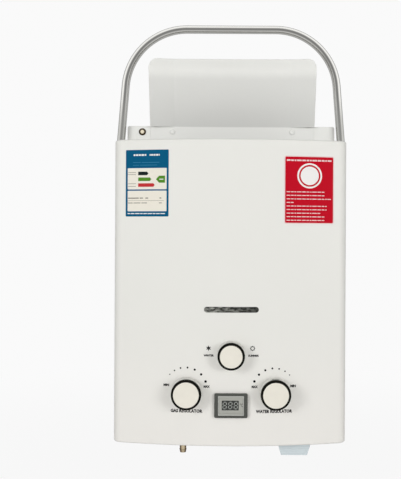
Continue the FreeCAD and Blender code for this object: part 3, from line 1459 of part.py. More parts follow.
def main():
    front_cover()
    back_plate()
    bottom_plate()
    top_panel()
    rain_hood()
    fasteners()
    carry_handle()
    handle_pivots()
    knobs()
    display()
    burner()
    gas_manifold()
    combustion_chamber()
    heat_exchanger()
    flue_collector()
    gas_valve()
    water_valve()
    connections()
    battery_box()
    battery_lid()
    batteries()
    igniter()
    doc.recompute()
    for item in doc.Objects:
        if "Invalid" in item.State or "Error" in item.State:
            raise RuntimeError(f"{item.Name} failed: {item.State}")
    for item in PIECES:
        if item.Shape.isNull() or not item.Shape.isValid():
            raise RuntimeError(f"{item.Label} has no valid shape")
    os.makedirs("parts", exist_ok=True)
    for item in PIECES:
        item.Shape.exportStep(f"parts/{item.Label}.step")
        print(f"{item.Label}: {item.Shape.Volume:.0f} mm3, {len(item.Shape.Solids)} solid")


main()
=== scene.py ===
import math
from functools import cache

import bmesh
import bpy
from bpy.props import FloatProperty, FloatVectorProperty, IntProperty, PointerProperty
from mathutils import Matrix, Vector


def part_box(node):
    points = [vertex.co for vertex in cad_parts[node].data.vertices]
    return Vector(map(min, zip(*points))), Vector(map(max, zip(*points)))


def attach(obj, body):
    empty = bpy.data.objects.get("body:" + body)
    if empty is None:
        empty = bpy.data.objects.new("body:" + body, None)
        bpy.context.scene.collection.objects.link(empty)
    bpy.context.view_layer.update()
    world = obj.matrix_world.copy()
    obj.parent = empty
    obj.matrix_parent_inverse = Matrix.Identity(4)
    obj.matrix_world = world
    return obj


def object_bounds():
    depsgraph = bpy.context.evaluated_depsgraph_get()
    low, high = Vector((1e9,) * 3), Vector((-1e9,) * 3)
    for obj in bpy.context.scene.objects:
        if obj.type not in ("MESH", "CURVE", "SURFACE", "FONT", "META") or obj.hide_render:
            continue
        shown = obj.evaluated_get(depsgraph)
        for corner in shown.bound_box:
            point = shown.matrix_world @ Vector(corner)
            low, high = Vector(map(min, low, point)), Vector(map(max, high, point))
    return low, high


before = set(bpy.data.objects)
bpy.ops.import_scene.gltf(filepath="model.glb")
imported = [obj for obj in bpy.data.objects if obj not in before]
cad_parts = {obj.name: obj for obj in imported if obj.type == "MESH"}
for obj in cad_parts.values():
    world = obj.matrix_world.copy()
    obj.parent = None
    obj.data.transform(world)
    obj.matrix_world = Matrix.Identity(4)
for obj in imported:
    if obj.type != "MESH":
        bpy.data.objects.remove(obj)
CAD_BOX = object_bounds()

bl_info = {
    "name": "Portable Water Heater Dress",
    "version": (1, 0, 0),
    "blender": (4, 5, 0),
    "location": "3D View > Sidebar > Heater",
    "description": "Finishes, printed scales, stickers, threads and a studio for a portable gas water heater",
    "category": "Add Mesh",
}

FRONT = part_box("front_cover")[0].y
KNOBS = ("gas_knob", "water_knob", "season_knob")
QUARTER = math.pi / 2

# How tall a capital stands, as a share of its text's size.
CAPITAL = 0.69

# How far one layer of print stands over the one below it.
LAYER = 0.00005

# What a camera ray sees of the surround and the floor.
SEEN_WHITE = (0.955, 0.955, 0.955, 1.0)
DUST = (0.45, 0.43, 0.40)


# Settings: the sizes and colours that a user would change.


def length(label, words, value):
    """A length setting, in metres."""
    return FloatProperty(name=label, description=words, default=value, unit="LENGTH", precision=5)


def angle(label, words, degrees):
    """An angle setting."""
    return FloatProperty(name=label, description=words, default=math.radians(degrees), subtype="ANGLE")


def place(label, words, x, z):
    """A place on the front, as its distance right of the middle and its height."""
    return FloatVectorProperty(
        name=label, description=words, default=(x, z), size=2, subtype="XYZ", unit="LENGTH"
    )


def colour(label, words, *shade):
    """A colour setting."""
    return FloatVectorProperty(
        name=label, description=words, default=shade, size=3, min=0, max=1, subtype="COLOR"
    )


class HeaterSizes(bpy.types.PropertyGroup):
    """Sizes of what is printed on, stuck on or cut into the heater."""

    bow_radius: length("Bow radius", "Radius of the bowed front, seen from above", 0.61)
    bail_tube: length("Handle tube", "Radius of the handle's tube", 0.0055)
    bail_top: length("Handle top", "Height of the middle of the handle's bar", 0.193)
    bail_bend: length("Handle bend", "Radius of the handle's two bends", 0.084)
    bail_foot: place("Handle foot", "Where a leg's middle line starts", 0.1505, 0.034)
    bail_splay: angle("Handle splay", "Lean of each leg towards the middle", 4.6)
    ink_depth: length("Ink depth", "How proud the printed marks stand", 0.00006)
    film_depth: length("Film depth", "Thickness of a sticker", 0.00018)
    blue_sticker: place("Blue sticker", "Middle of the blue sticker", -0.1030, -0.0244)
    blue_size: place("Blue sticker size", "Width and height of the blue sticker", 0.0538, 0.0822)
    red_sticker: place("Red sticker", "Middle of the red sticker", 0.0968, -0.0319)
    red_size: place("Red sticker size", "Width and height of the red sticker", 0.0624, 0.0836)
    gas_scale: place("Gas scale", "Centre of the gas knob's row of dots", -0.0538, -0.2761)
    water_scale: place("Water scale", "Centre of the water knob's row of dots", 0.0542, -0.2766)
    scale_radius: length("Scale radius", "Radius of a row of dots", 0.0261)
    gas_first: angle("Gas first dot", "Where the gas dots start, from straight up", -48.6)
    gas_last: angle("Gas last dot", "Where the gas dots end", 69.0)
    water_first: angle("Water first dot", "Where the water dots start", -66.8)
    water_last: angle("Water last dot", "Where the water dots end", 47.3)
    dot_count: IntProperty(name="Dots", description="Dots in each row", default=7, min=2)
    small_dot: length("Small dot", "Radius of the smallest dot", 0.00074)
    large_dot: length("Large dot", "Radius of the largest dot", 0.00158)
    digit_height: length("Digit height", "Height of the display's figures", 0.0080)
    digit_pitch: length("Digit pitch", "Spacing of the display's figures", 0.0068)
    thread_radius: length("Thread radius", "Outer radius of the water stubs' threads", 0.01045)
    thread_pitch: length("Thread pitch", "Rise of one turn of the pipe threads", 0.00181)
    thread_ridge: length("Thread ridge", "How proud a turn of thread stands", 0.00030)
    lid_room: length("Floor drop", "Room under the heater for its open battery lid", 0.0750)


class HeaterColours(bpy.types.PropertyGroup):
    """Colours of the heater's finishes."""

    cover: colour("Cover", "Baked enamel of the front cover", 0.803, 0.798, 0.757)
    sheet: colour("Sheet", "Paint of the back plate and hood", 0.733, 0.733, 0.703)
    handle: colour("Handle", "Polished tube of the handle", 0.34, 0.34, 0.32)
    ring: colour("Knob ring", "Dark rim of the knobs", 0.0045, 0.0045, 0.0028)
    cap: colour("Knob cap", "White face of the knobs", 0.825, 0.79, 0.70)
    bezel: colour("Bezel", "Frame of the display", 0.056, 0.058, 0.050)
    panel: colour("Display panel", "Pale panel of the display", 0.385, 0.387, 0.350)
    battery: colour("Battery box", "Pale blue-grey box", 0.67, 0.745, 0.775)
    blue: colour("Sticker blue", "Ground of the blue sticker", 0.002, 0.095, 0.200)
    red: colour("Sticker red", "Ground of the red sticker", 0.520, 0.004, 0.017)
    paper: colour("Sticker paper", "Pale panels of the stickers", 0.82, 0.78, 0.685)
    ink: colour("Ink", "Printed marks", 0.006, 0.006, 0.007)


def sizes():
    """The heater's size settings."""
    return bpy.context.scene.heater_sizes


def scaled(shade, factor=1.0, most=1.0):
    """A colour made brighter or darker, with its alpha."""
    return [min(most, value * factor) for value in shade[:3]] + [1.0]


# Node trees: short ways to add nodes, which shader and geometry trees share.


def arithmetic(operation, swapped=False):
    """A way to write a math node between two terms as plain arithmetic."""

    def work(flow, other):
        terms = (other, flow) if swapped else (flow, other)
        return flow.graph.calc(operation, *terms)

    return work


class Flow:
    """An output socket that takes part in plain arithmetic."""

    def __init__(self, graph, socket):
        self.graph = graph
        self.socket = socket

    __add__ = arithmetic("ADD")
    __sub__ = arithmetic("SUBTRACT")
    __rsub__ = arithmetic("SUBTRACT", swapped=True)
    __mul__ = arithmetic("MULTIPLY")
    __truediv__ = arithmetic("DIVIDE")
    __rtruediv__ = arithmetic("DIVIDE", swapped=True)


class Graph:
    """A node tree that is being filled."""

    def __init__(self, tree):
        self.tree = tree

    def feed(self, socket, value):
        """Give an input socket a value or a link."""
        if isinstance(value, Flow):
            self.tree.links.new(value.socket, socket)
        else:
            socket.default_value = value

    def add(self, kind, inputs=None, **options):
        """Add a node, set its options and feed its inputs."""
        made = self.tree.nodes.new(kind)
        for option, value in options.items():
            setattr(made, option, value)
        for name, value in (inputs or {}).items():
            self.feed(made.inputs[name], value)
        return made

    def get(self, kind, inputs=None, output=0, **options):
        """Add a node and take one of its outputs."""
        return Flow(self, self.add(kind, inputs, **options).outputs[output])

    def calc(self, operation, *terms):
        """The result of a math node on numbers or flows."""
        return self.get("ShaderNodeMath", dict(enumerate(terms)), operation=operation)

    def vector(self, x, y, z):
        """Three numbers or flows as one vector."""
        return self.get("ShaderNodeCombineXYZ", {0: x, 1: y, 2: z})

    def parts(self, value):
        """The three parts of a vector."""
        return [Flow(self, socket) for socket in self.add("ShaderNodeSeparateXYZ", {0: value}).outputs]

    def span(self, value):
        """The length of a vector."""
        return self.get("ShaderNodeVectorMath", {0: value}, "Value", operation="LENGTH")

    def place(self):
        """Object coordinates, in metres."""
        return self.get("ShaderNodeTexCoord", output="Object")

    def noise(self, where, size, detail=2.0):
        """Noise from 0 to 1 whose lumps are about the given size."""
        return self.get("ShaderNodeTexNoise", {"Vector": where, "Scale": 1.0 / size, "Detail": detail})

    def grain(self, size, detail=2.0):
        """Noise in object coordinates."""
        return self.noise(self.place(), size, detail)

    def remap(self, value, low, high, start=0.0, end=1.0, **options):
        """A value's way from low to high, as a way from start to end."""
        inputs = {"Value": value, "From Min": low, "From Max": high, "To Min": start, "To Max": end}
        return self.get("ShaderNodeMapRange", inputs, **options)

    def mix(self, share, first, second):
        """First and second colour mixed by a share."""
        pair = [shade if isinstance(shade, Flow) else scaled(shade) for shade in (first, second)]
        return self.get("ShaderNodeMix", {0: share, 6: pair[0], 7: pair[1]}, 2, data_type="RGBA")

    def choose(self, share, first, second):
        """The first number where the share is 0, the second where it is 1."""
        return self.get("ShaderNodeMix", {0: share, 2: first, 3: second}, data_type="FLOAT")

    def seen_directly(self):
        """1 for a ray from the camera, or one that a shiny or clear surface sends on."""
        path = self.add("ShaderNodeLightPath").outputs
        seen = Flow(self, path["Is Camera Ray"])
        for passed_on in ("Is Glossy Ray", "Is Transmission Ray"):
            seen = self.calc("MAXIMUM", seen, Flow(self, path[passed_on]))
        return seen


def socket_kind(default):
    """The kind of socket that holds such a value."""
    if isinstance(default, tuple):
        return "NodeSocketColor" if len(default) == 4 else "NodeSocketVector"
    return {int: "NodeSocketInt", float: "NodeSocketFloat"}.get(type(default), "NodeSocketMaterial")


class Group(Graph):
    """A node group with named inputs, each of the kind that its default has, and named outputs."""

    def __init__(self, name, inputs, outputs, kind="ShaderNodeTree"):
        super().__init__(bpy.data.node_groups.new(name, kind))
        sockets = self.tree.interface
        for label, default in inputs.items():
            item = sockets.new_socket(name=label, in_out="INPUT", socket_type=socket_kind(default))
            if default is not None:
                item.default_value = default
        for label, wanted in outputs.items():
            sockets.new_socket(name=label, in_out="OUTPUT", socket_type=f"NodeSocket{wanted}")
        given = self.tree.nodes.new("NodeGroupInput")
        self.given = {label: Flow(self, given.outputs[label]) for label in inputs}
        self.result = self.tree.nodes.new("NodeGroupOutput")

    def give(self, **results):
        """Feed the group's outputs and close it."""
        for label, value in results.items():
            self.feed(self.result.inputs[label], value)
        return self.tree


# Shared shader groups.


@cache
def tone_drift():
    """A colour that drifts in broad patches and fine specks."""
    group = Group(
        "tone_drift",
        {
            "Colour": (0.5, 0.5, 0.5, 1.0), "Drift": 0.05, "Patch size": 0.05, "Speckle": 0.03,
            "Speck size": 0.0006,
        },
        {"Colour": "Color", "Patches": "Float", "Specks": "Float"},
    )
    given = group.given
    where = group.place()
    patches = group.noise(where, given["Patch size"], 3.0)
    specks = group.noise(where, given["Speck size"], 1.0)
    level = ((patches - 0.5) * given["Drift"] + (specks - 0.5) * given["Speckle"]) * 2.0 + 1.0
    shade = group.get("ShaderNodeVectorMath", {0: given["Colour"], "Scale": level}, operation="SCALE")
    return group.give(Colour=shade, Patches=patches, Specks=specks)


@cache
def rounded_edge():
    """A mask of the sharp edges, and the normal with those edges rounded off."""
    group = Group("rounded_edge", {"Width": 0.0006}, {"Edge": "Float", "Normal": "Vector"})
    soft = group.get("ShaderNodeBevel", {"Radius": group.given["Width"]}, samples=6)
    true_normal = group.get("ShaderNodeNewGeometry", output="Normal")
    alike = group.get("ShaderNodeVectorMath", {0: soft, 1: true_normal}, "Value", operation="DOT_PRODUCT")
    return group.give(Edge=group.remap(1.0 - alike, 0.02, 0.22), Normal=soft)


@cache
def drawn_lines():
    """Fine lines left by rolling, drawing or turning: long one way and narrow the other two."""
    group = Group("drawn_lines", {"Stretch": (1.0, 1.0, 1.0), "Line width": 0.0005}, {"Lines": "Float"})
    inputs = {"Vector": group.place(), "Scale": group.given["Stretch"]}
    spread = group.get("ShaderNodeMapping", inputs, vector_type="POINT")
    return group.give(Lines=group.noise(spread, group.given["Line width"], 3.0))


@cache
def settled_dust():
    """Where dust settles: thickest on faces that look up, broken into wisps."""
    group = Group("settled_dust", {"Amount": 0.2, "Wisp size": 0.02}, {"Dust": "Float"})
    upward = group.remap(group.parts(group.get("ShaderNodeTexCoord", output="Normal"))[2], 0.2, 1.0)
    return group.give(Dust=upward * group.grain(group.given["Wisp size"], 5.0) * group.given["Amount"])


@cache
def level_band():
    """A mask that rises from 0 to 1 between two levels, with a ragged border."""
    group = Group("level_band", {"From": 0.0, "To": 0.01, "Ragged": 0.0}, {"Band": "Float"})
    given = group.given
    where = group.place()
    level = group.parts(where)[2] + (group.noise(where, 0.012, 3.0) - 0.5) * given["Ragged"]
    return group.give(Band=group.remap(level, given["From"], given["To"], interpolation_type="SMOOTHSTEP"))


# Finishes: one material for each thing that the heater is made of.


class Finish(Graph):
    """A material under construction: its shader, its masks, and the bump that feeds its normal."""

    def __init__(self, name, base, roughness, metallic=0.0, coat=0.0, edge=0.0005, shine=0.5):
        self.material = bpy.data.materials.new(name)
        self.material.use_nodes = True
        super().__init__(self.material.node_tree)
        self.base = scaled(base)
        self.material.diffuse_color = self.base
        self.roughness = roughness
        self.shader = self.tree.nodes["Principled BSDF"]
        values = {
            "Metallic": metallic, "Coat Weight": coat, "Coat Roughness": 0.12, "Specular IOR Level": shine,
        }
        for label, value in values.items():
            self.shader.inputs[label].default_value = value
        self.edge, self.rounded = self.group(rounded_edge(), {"Width": edge})

    def group(self, tree, inputs):
        """Place a shared group with its own values and take its outputs."""
        made = self.add("ShaderNodeGroup", node_tree=tree)
        for name, value in inputs.items():
            self.feed(made.inputs[name], value)
        return [Flow(self, socket) for socket in made.outputs]

    def drift(self, amount, patch, speckle=0.02, speck=0.0006, base=None):
        """The drifting base colour, its patches and its specks."""
        values = {"Colour": base or self.base, "Drift": amount, "Patch size": patch}
        return self.group(tone_drift(), {**values, "Speckle": speckle, "Speck size": speck})

    def lines(self, stretch, width):
        """Drawn lines, as a mask."""
        return self.group(drawn_lines(), {"Stretch": stretch, "Line width": width})[0]

    def band(self, start, end, ragged=0.0):
        """A mask that rises from one level to another."""
        return self.group(level_band(), {"From": start, "To": end, "Ragged": ragged})[0]

    def dusted(self, shade, amount, wisp=0.02, dust=DUST):
        """The colour under settled dust."""
        return self.mix(self.group(settled_dust(), {"Amount": amount, "Wisp size": wisp})[0], shade, dust)

    def turned_away(self, low, high, most=1.0):
        """How far a face turns away from the eye, as a mask for painted shade."""
        aside = self.get("ShaderNodeLayerWeight", {"Blend": 0.5}, "Facing")
        return self.remap(aside, low, high, 0.0, most)

    def off_axis(self, part):
        """How far a point lies from the axis of a part that points forward."""
        low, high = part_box(part)
        middle = (low + high) / 2
        across, _, up = self.parts(self.place())
        return self.span(self.vector(across - middle.x, 0.0, up - middle.z))

    def paint(self, base, rough, spread):
        """Feed the colour, and a roughness that varies with a mask."""
        self.feed(self.shader.inputs["Base Color"], base)
        varied = self.remap(rough, 0.0, 1.0, self.roughness - spread, self.roughness + spread)
        self.feed(self.shader.inputs["Roughness"], varied)

    def bump(self, height, depth, strength):
        """Feed the normal with a height, over the rounded edges."""
        inputs = {"Height": height, "Distance": depth, "Strength": strength, "Normal": self.rounded}
        self.feed(self.shader.inputs["Normal"], self.get("ShaderNodeBump", inputs))
        return self.material

    def peel(self):
        """The faint orange peel of sprayed enamel."""
        return self.bump(self.grain(0.0016), 0.00002, 0.5)


def enamel(name, base, roughness, drift, dust, low=None):
    """White enamel on sheet steel: thin at its edges and, where a low tone is given, painted light that makes
    it paler and warmer low down, with painted shade on faces turned from the eye.
    """
    made = Finish(name, base, roughness, coat=0.15, edge=0.0008)
    shade, patches, _ = made.drift(drift, 0.09, 0.008, 0.0009)
    if low:
        # Painted light: the enamel turns paler and warmer towards the bottom.
        shade = made.mix(made.band(-0.160, -0.350, 0.020), shade, low)
        # Painted shade: faces turned away from the eye are darkened.
        shade = made.mix(made.turned_away(0.35, 0.90, 0.26), shade, (0.10, 0.095, 0.085))
    edged = made.mix(made.edge * 0.35, shade, scaled(base, 0.86))
    made.paint(made.dusted(edged, dust, 0.03, (0.62, 0.60, 0.55)), patches, 0.05)
    return made.peel()


def sheet_with_painted_light(name, base, roughness):
    """The hood's enamel with painted light: painted shade darker towards its foot, a painted highlight along
    the roll at its top, and a paler upright flange.
    """
    made = Finish(name, base, roughness, coat=0.10, edge=0.0008)
    shade, patches, _ = made.drift(0.012, 0.05, 0.008, 0.0009)
    # Painted shade: darker towards the foot.
    foot_shade_painted = made.mix(made.band(0.128, 0.055, 0.004), shade, scaled(base, 0.92))
    # Painted highlight along the roll at the top.
    rolled = made.mix(made.band(0.120, 0.137, 0.003), foot_shade_painted, scaled(base, 1.22, 0.90))
    # Painted light on the upright flange.
    flange_light_painted = made.mix(made.band(0.0620, 0.0600), rolled, scaled(base, 1.11))
    made.paint(flange_light_painted, patches, 0.05)
    return made.peel()


def plated_sheet(name, base, roughness):
    """Zinc-plated sheet: cloudy crystals and fine rolling lines."""
    made = Finish(name, base, roughness, metallic=1.0)
    cells = made.get("ShaderNodeTexVoronoi", {"Vector": made.place(), "Scale": 130.0}, "Color")
    grey = made.get("ShaderNodeSeparateColor", {0: cells})
    crystal = made.mix(grey * 0.6, made.drift(0.06, 0.03)[0], scaled(base, 1.16))
    made.paint(crystal, grey, 0.08)
    return made.bump(made.lines((0.04, 1.0, 1.0), 0.0004), 0.00002, 0.4)


def across_tube(graph):
    """Where a point lies across the handle's bent tube: 1 at its outer side and -1 at its inner side."""
    size = sizes()
    foot_x, foot_z = size.bail_foot
    splay, top, bend = size.bail_splay, size.bail_top, size.bail_bend
    leg_top = top - bend * (1 - math.sin(splay))
    bar_end = foot_x - (leg_top - foot_z) * math.tan(splay) - bend * math.cos(splay)
    side, _, height = graph.parts(graph.place())
    aside = graph.calc("ABSOLUTE", side)
    on_bend = graph.span(graph.vector(aside - bar_end, 0.0, height - (top - bend))) - bend
    line = (height - foot_z) * -math.tan(splay) + foot_x
    on_leg = (aside - line) * math.cos(splay)
    upper = graph.choose(graph.calc("LESS_THAN", aside, bar_end), on_bend, height - top)
    return graph.choose(graph.calc("LESS_THAN", height, leg_top), upper, on_leg) / size.bail_tube


def tube_with_painted_reflections(name, base):
    """Polished stainless tube: painted reflections as bright and dark bands, and hairlines, all following its
    bend; the bands fade lower down.
    """
    made = Finish(name, base, 0.17, metallic=1.0, edge=0.0003)
    across = across_tube(made)
    # The ramp's levels paint reflections: bright and dark bands across the tube.
    ramp = made.add("ShaderNodeValToRGB", {"Fac": across * -0.5 + 0.5})
    levels = (
        (0.00, 0.20), (0.10, 0.26), (0.20, 0.90), (0.34, 0.92), (0.45, 0.30),
        (0.53, 0.18), (0.66, 0.24), (0.80, 0.62), (1.00, 0.34),
    )
    stops = ramp.color_ramp.elements
    stops[0].position, stops[1].position = levels[0][0], levels[-1][0]
    for at, _ in levels[1:-1]:
        stops.new(at)
    for stop, (_, level) in zip(stops, levels):
        stop.color = (level * 1.01, level, level * 0.96, 1.0)
    # The painted reflections fade towards the base colour lower down.
    reflections_faded_low = made.mix(made.band(0.110, 0.060) * 0.55, Flow(made, ramp.outputs["Color"]), base)
    depth = made.parts(made.place())[1]
    hair = made.noise(made.vector(across * sizes().bail_tube, depth, 0.0), 0.0008, 3.0)
    made.paint(made.drift(0.06, 0.015, 0.01, 0.002, reflections_faded_low)[0], hair, 0.04)
    return made.bump(hair, 0.000004, 0.3)


def turned_metal(name, base, roughness, tint=None, glancing_shade=None):
    """Turned or pressed metal: lathe lines, brighter edges, and, where a colour is given, painted shade on
    faces turned from the eye.
    """
    made = Finish(name, base, roughness, metallic=1.0, edge=0.0003)
    shade, patches, _ = made.drift(0.08, 0.006, 0.05, 0.0004)
    if tint:
        shade = made.mix(patches, shade, tint)
    shade = made.mix(made.edge * 0.6, shade, scaled(base, 1.35))
    if glancing_shade:
        # Painted shade: faces turned away from the eye are darkened.
        shade = made.mix(made.turned_away(0.05, 0.34), shade, glancing_shade)
    turned = made.lines((1.0, 1.0, 1.0), 0.0003)
    made.paint(shade, turned, 0.08)
    return made.bump(turned, 0.00002, 0.5)


def screw_with_painted_highlight(name, base, rim):
    """A brass screw, dark at its rim, with a painted highlight in its middle."""
    made = Finish(name, base, 0.30, metallic=1.0, edge=0.0003)
    shade, _, specks = made.drift(0.15, 0.002, 0.10, 0.0004)
    # Bright middle: a painted highlight; the rim is darker.
    made.paint(made.mix(made.remap(made.off_axis("earth_screw"), 0.0020, 0.0031), shade, rim), specks, 0.08)
    return made.bump(specks, 0.00003, 0.5)


def copper_sheet(name, base):
    """Copper that is bright where drawn, browned by heat below and bloomed by flux at its joints."""
    made = Finish(name, base, 0.32, metallic=1.0, edge=0.0003)
    shade, patches, specks = made.drift(0.16, 0.02, 0.08, 0.0005)
    browned = made.mix(made.band(-0.060, -0.098, 0.03) * 0.7, shade, (0.22, 0.10, 0.07))
    flux = made.remap(made.grain(0.007, 4.0), 0.60, 0.72)
    made.paint(made.mix(flux * 0.5, browned, (0.62, 0.50, 0.44)), patches, 0.12)
    return made.bump(specks, 0.00002, 0.4)


def cast_metal(name, base):
    """Die-cast aluminium: sandy skin and polished edges."""
    made = Finish(name, base, 0.48, metallic=1.0, edge=0.0006)
    shade, _, specks = made.drift(0.10, 0.01, 0.08, 0.0007)
    made.paint(made.mix(made.edge * 0.5, shade, (0.78, 0.79, 0.80)), specks, 0.10)
    return made.bump(made.grain(0.0006, 3.0), 0.00006, 0.7)


def tempered_sheet(name, base):
    """Burner steel, tempered straw and blue towards the flame."""
    made = Finish(name, base, 0.40, metallic=1.0)
    shade, patches, _ = made.drift(0.12, 0.02)
    straw = made.mix(made.band(-0.222, -0.200, 0.02) * 0.55, shade, (0.42, 0.28, 0.12))
    blued = made.mix(made.band(-0.206, -0.188, 0.02) * 0.55, straw, (0.11, 0.12, 0.20))
    made.paint(blued, patches, 0.12)
    return made.bump(made.lines((0.05, 1.0, 1.0), 0.0004), 0.00003, 0.5)


def moulded(name, base, roughness, grain=0.0004, dust=0.08):
    """Moulded plastic: a fine spark texture, paler along its edges, partly as rubbed wear and partly as a
    painted edge highlight.
    """
    made = Finish(name, base, roughness, edge=0.0004)
    shade, _, specks = made.drift(0.05, 0.015, 0.03, 0.0005)
    # Paler edges: rubbed wear and a painted highlight.
    edged = made.mix(made.edge * 0.4, shade, [value * 0.85 + 0.08 for value in base])
    made.paint(made.dusted(edged, dust), specks, 0.06)
    return made.bump(made.grain(grain), 0.00003, 0.6)


def ribbed(name, base, roughness, pitch):
    """Moulded plastic with fine level grip lines, a pitch apart, and painted shade in their grooves."""
    made = Finish(name, base, roughness, edge=0.0004)
    shade, _, specks = made.drift(0.05, 0.012, 0.03, 0.0005)
    inputs = {"Vector": made.place(), "Scale": math.pi / (10 * pitch), "Distortion": 0.0}
    lines = made.get("ShaderNodeTexWave", inputs, "Fac", bands_direction="Z")
    # The grooves are darkened: painted shade.
    made.paint(made.mix(made.remap(lines, 0.45, 0.05), shade, scaled(base, 0.86)), specks, 0.05)
    return made.bump(lines, 0.0001, 0.5)


def two_shot_skirt(name, rim, body, border):
    """A knob's skirt: white body with a dark rim in front of a border."""
    made = Finish(name, body, 0.45, edge=0.0003, shine=0.08)
    shade, _, specks = made.drift(0.04, 0.012)
    ahead = made.calc("LESS_THAN", made.parts(made.place())[1], border)
    made.paint(made.mix(ahead, shade, rim), specks, 0.05)
    return made.bump(specks, 0.00002, 0.4)


def rimmed_cap(name, rim, face, margin):
    """A knob's white face, with a dark margin round it as wide as given."""
    made = Finish(name, face, 0.34, coat=0.1, edge=0.0004, shine=0.3)
    shade, _, specks = made.drift(0.04, 0.010, 0.02, 0.0006)
    outside = 1.0
    for knob in KNOBS:
        low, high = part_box(f"{knob}_cap")
        reach = (high.x - low.x) / 2 - margin
        outside = made.calc("GREATER_THAN", made.off_axis(f"{knob}_cap"), reach) * outside
    made.paint(made.dusted(made.mix(outside, shade, rim), 0.02), specks, 0.05)
    return made.bump(made.grain(0.0006), 0.00002, 0.5)


def glossy_skin(name, base, roughness, coat=0.3, shine=0.5):
    """A smooth printed or glazed skin with faint waviness."""
    made = Finish(name, base, roughness, coat=coat, edge=0.0002, shine=shine)
    shade, patches, _ = made.drift(0.03, 0.02, 0.02, 0.0003)
    made.paint(shade, patches, 0.05)
    return made.bump(patches, 0.00004, 0.3)


def smoked_mica(name, dark, pale):
    """A smoked mica pane: pale flakes in streaks, fewer towards its right end, and a pale left end."""
    made = Finish(name, dark, 0.30, edge=0.0002, shine=0.20)
    across = made.parts(made.place())[0]
    flakes = made.remap(made.lines((0.45, 1.0, 1.0), 0.0026), 0.40, 0.62)
    streaks = flakes * made.remap(across, -0.030, 0.034, 1.0, 0.12)
    end = made.remap(across, -0.0270, -0.0320) * 0.8
    made.paint(made.mix(made.calc("MAXIMUM", streaks, end), dark, pale), flakes, 0.08)
    return made.bump(flakes, 0.00005, 0.4)


def printed_circuit(name, base):
    """Green solder mask over copper tracks."""
    made = Finish(name, base, 0.35, coat=0.3)
    shade, _, specks = made.drift(0.06, 0.02)
    black, white = (0.0, 0.0, 0.0, 1.0), (1.0, 1.0, 1.0, 1.0)
    inputs = {"Color1": black, "Color2": black, "Mortar": white, "Mortar Size": 0.03}
    tracks = made.get("ShaderNodeTexBrick", {**inputs, "Vector": made.place(), "Scale": 130.0}, "Color")
    made.paint(made.mix(tracks, shade, (0.10, 0.36, 0.16)), specks, 0.05)
    return made.bump(tracks, 0.00003, 0.5)


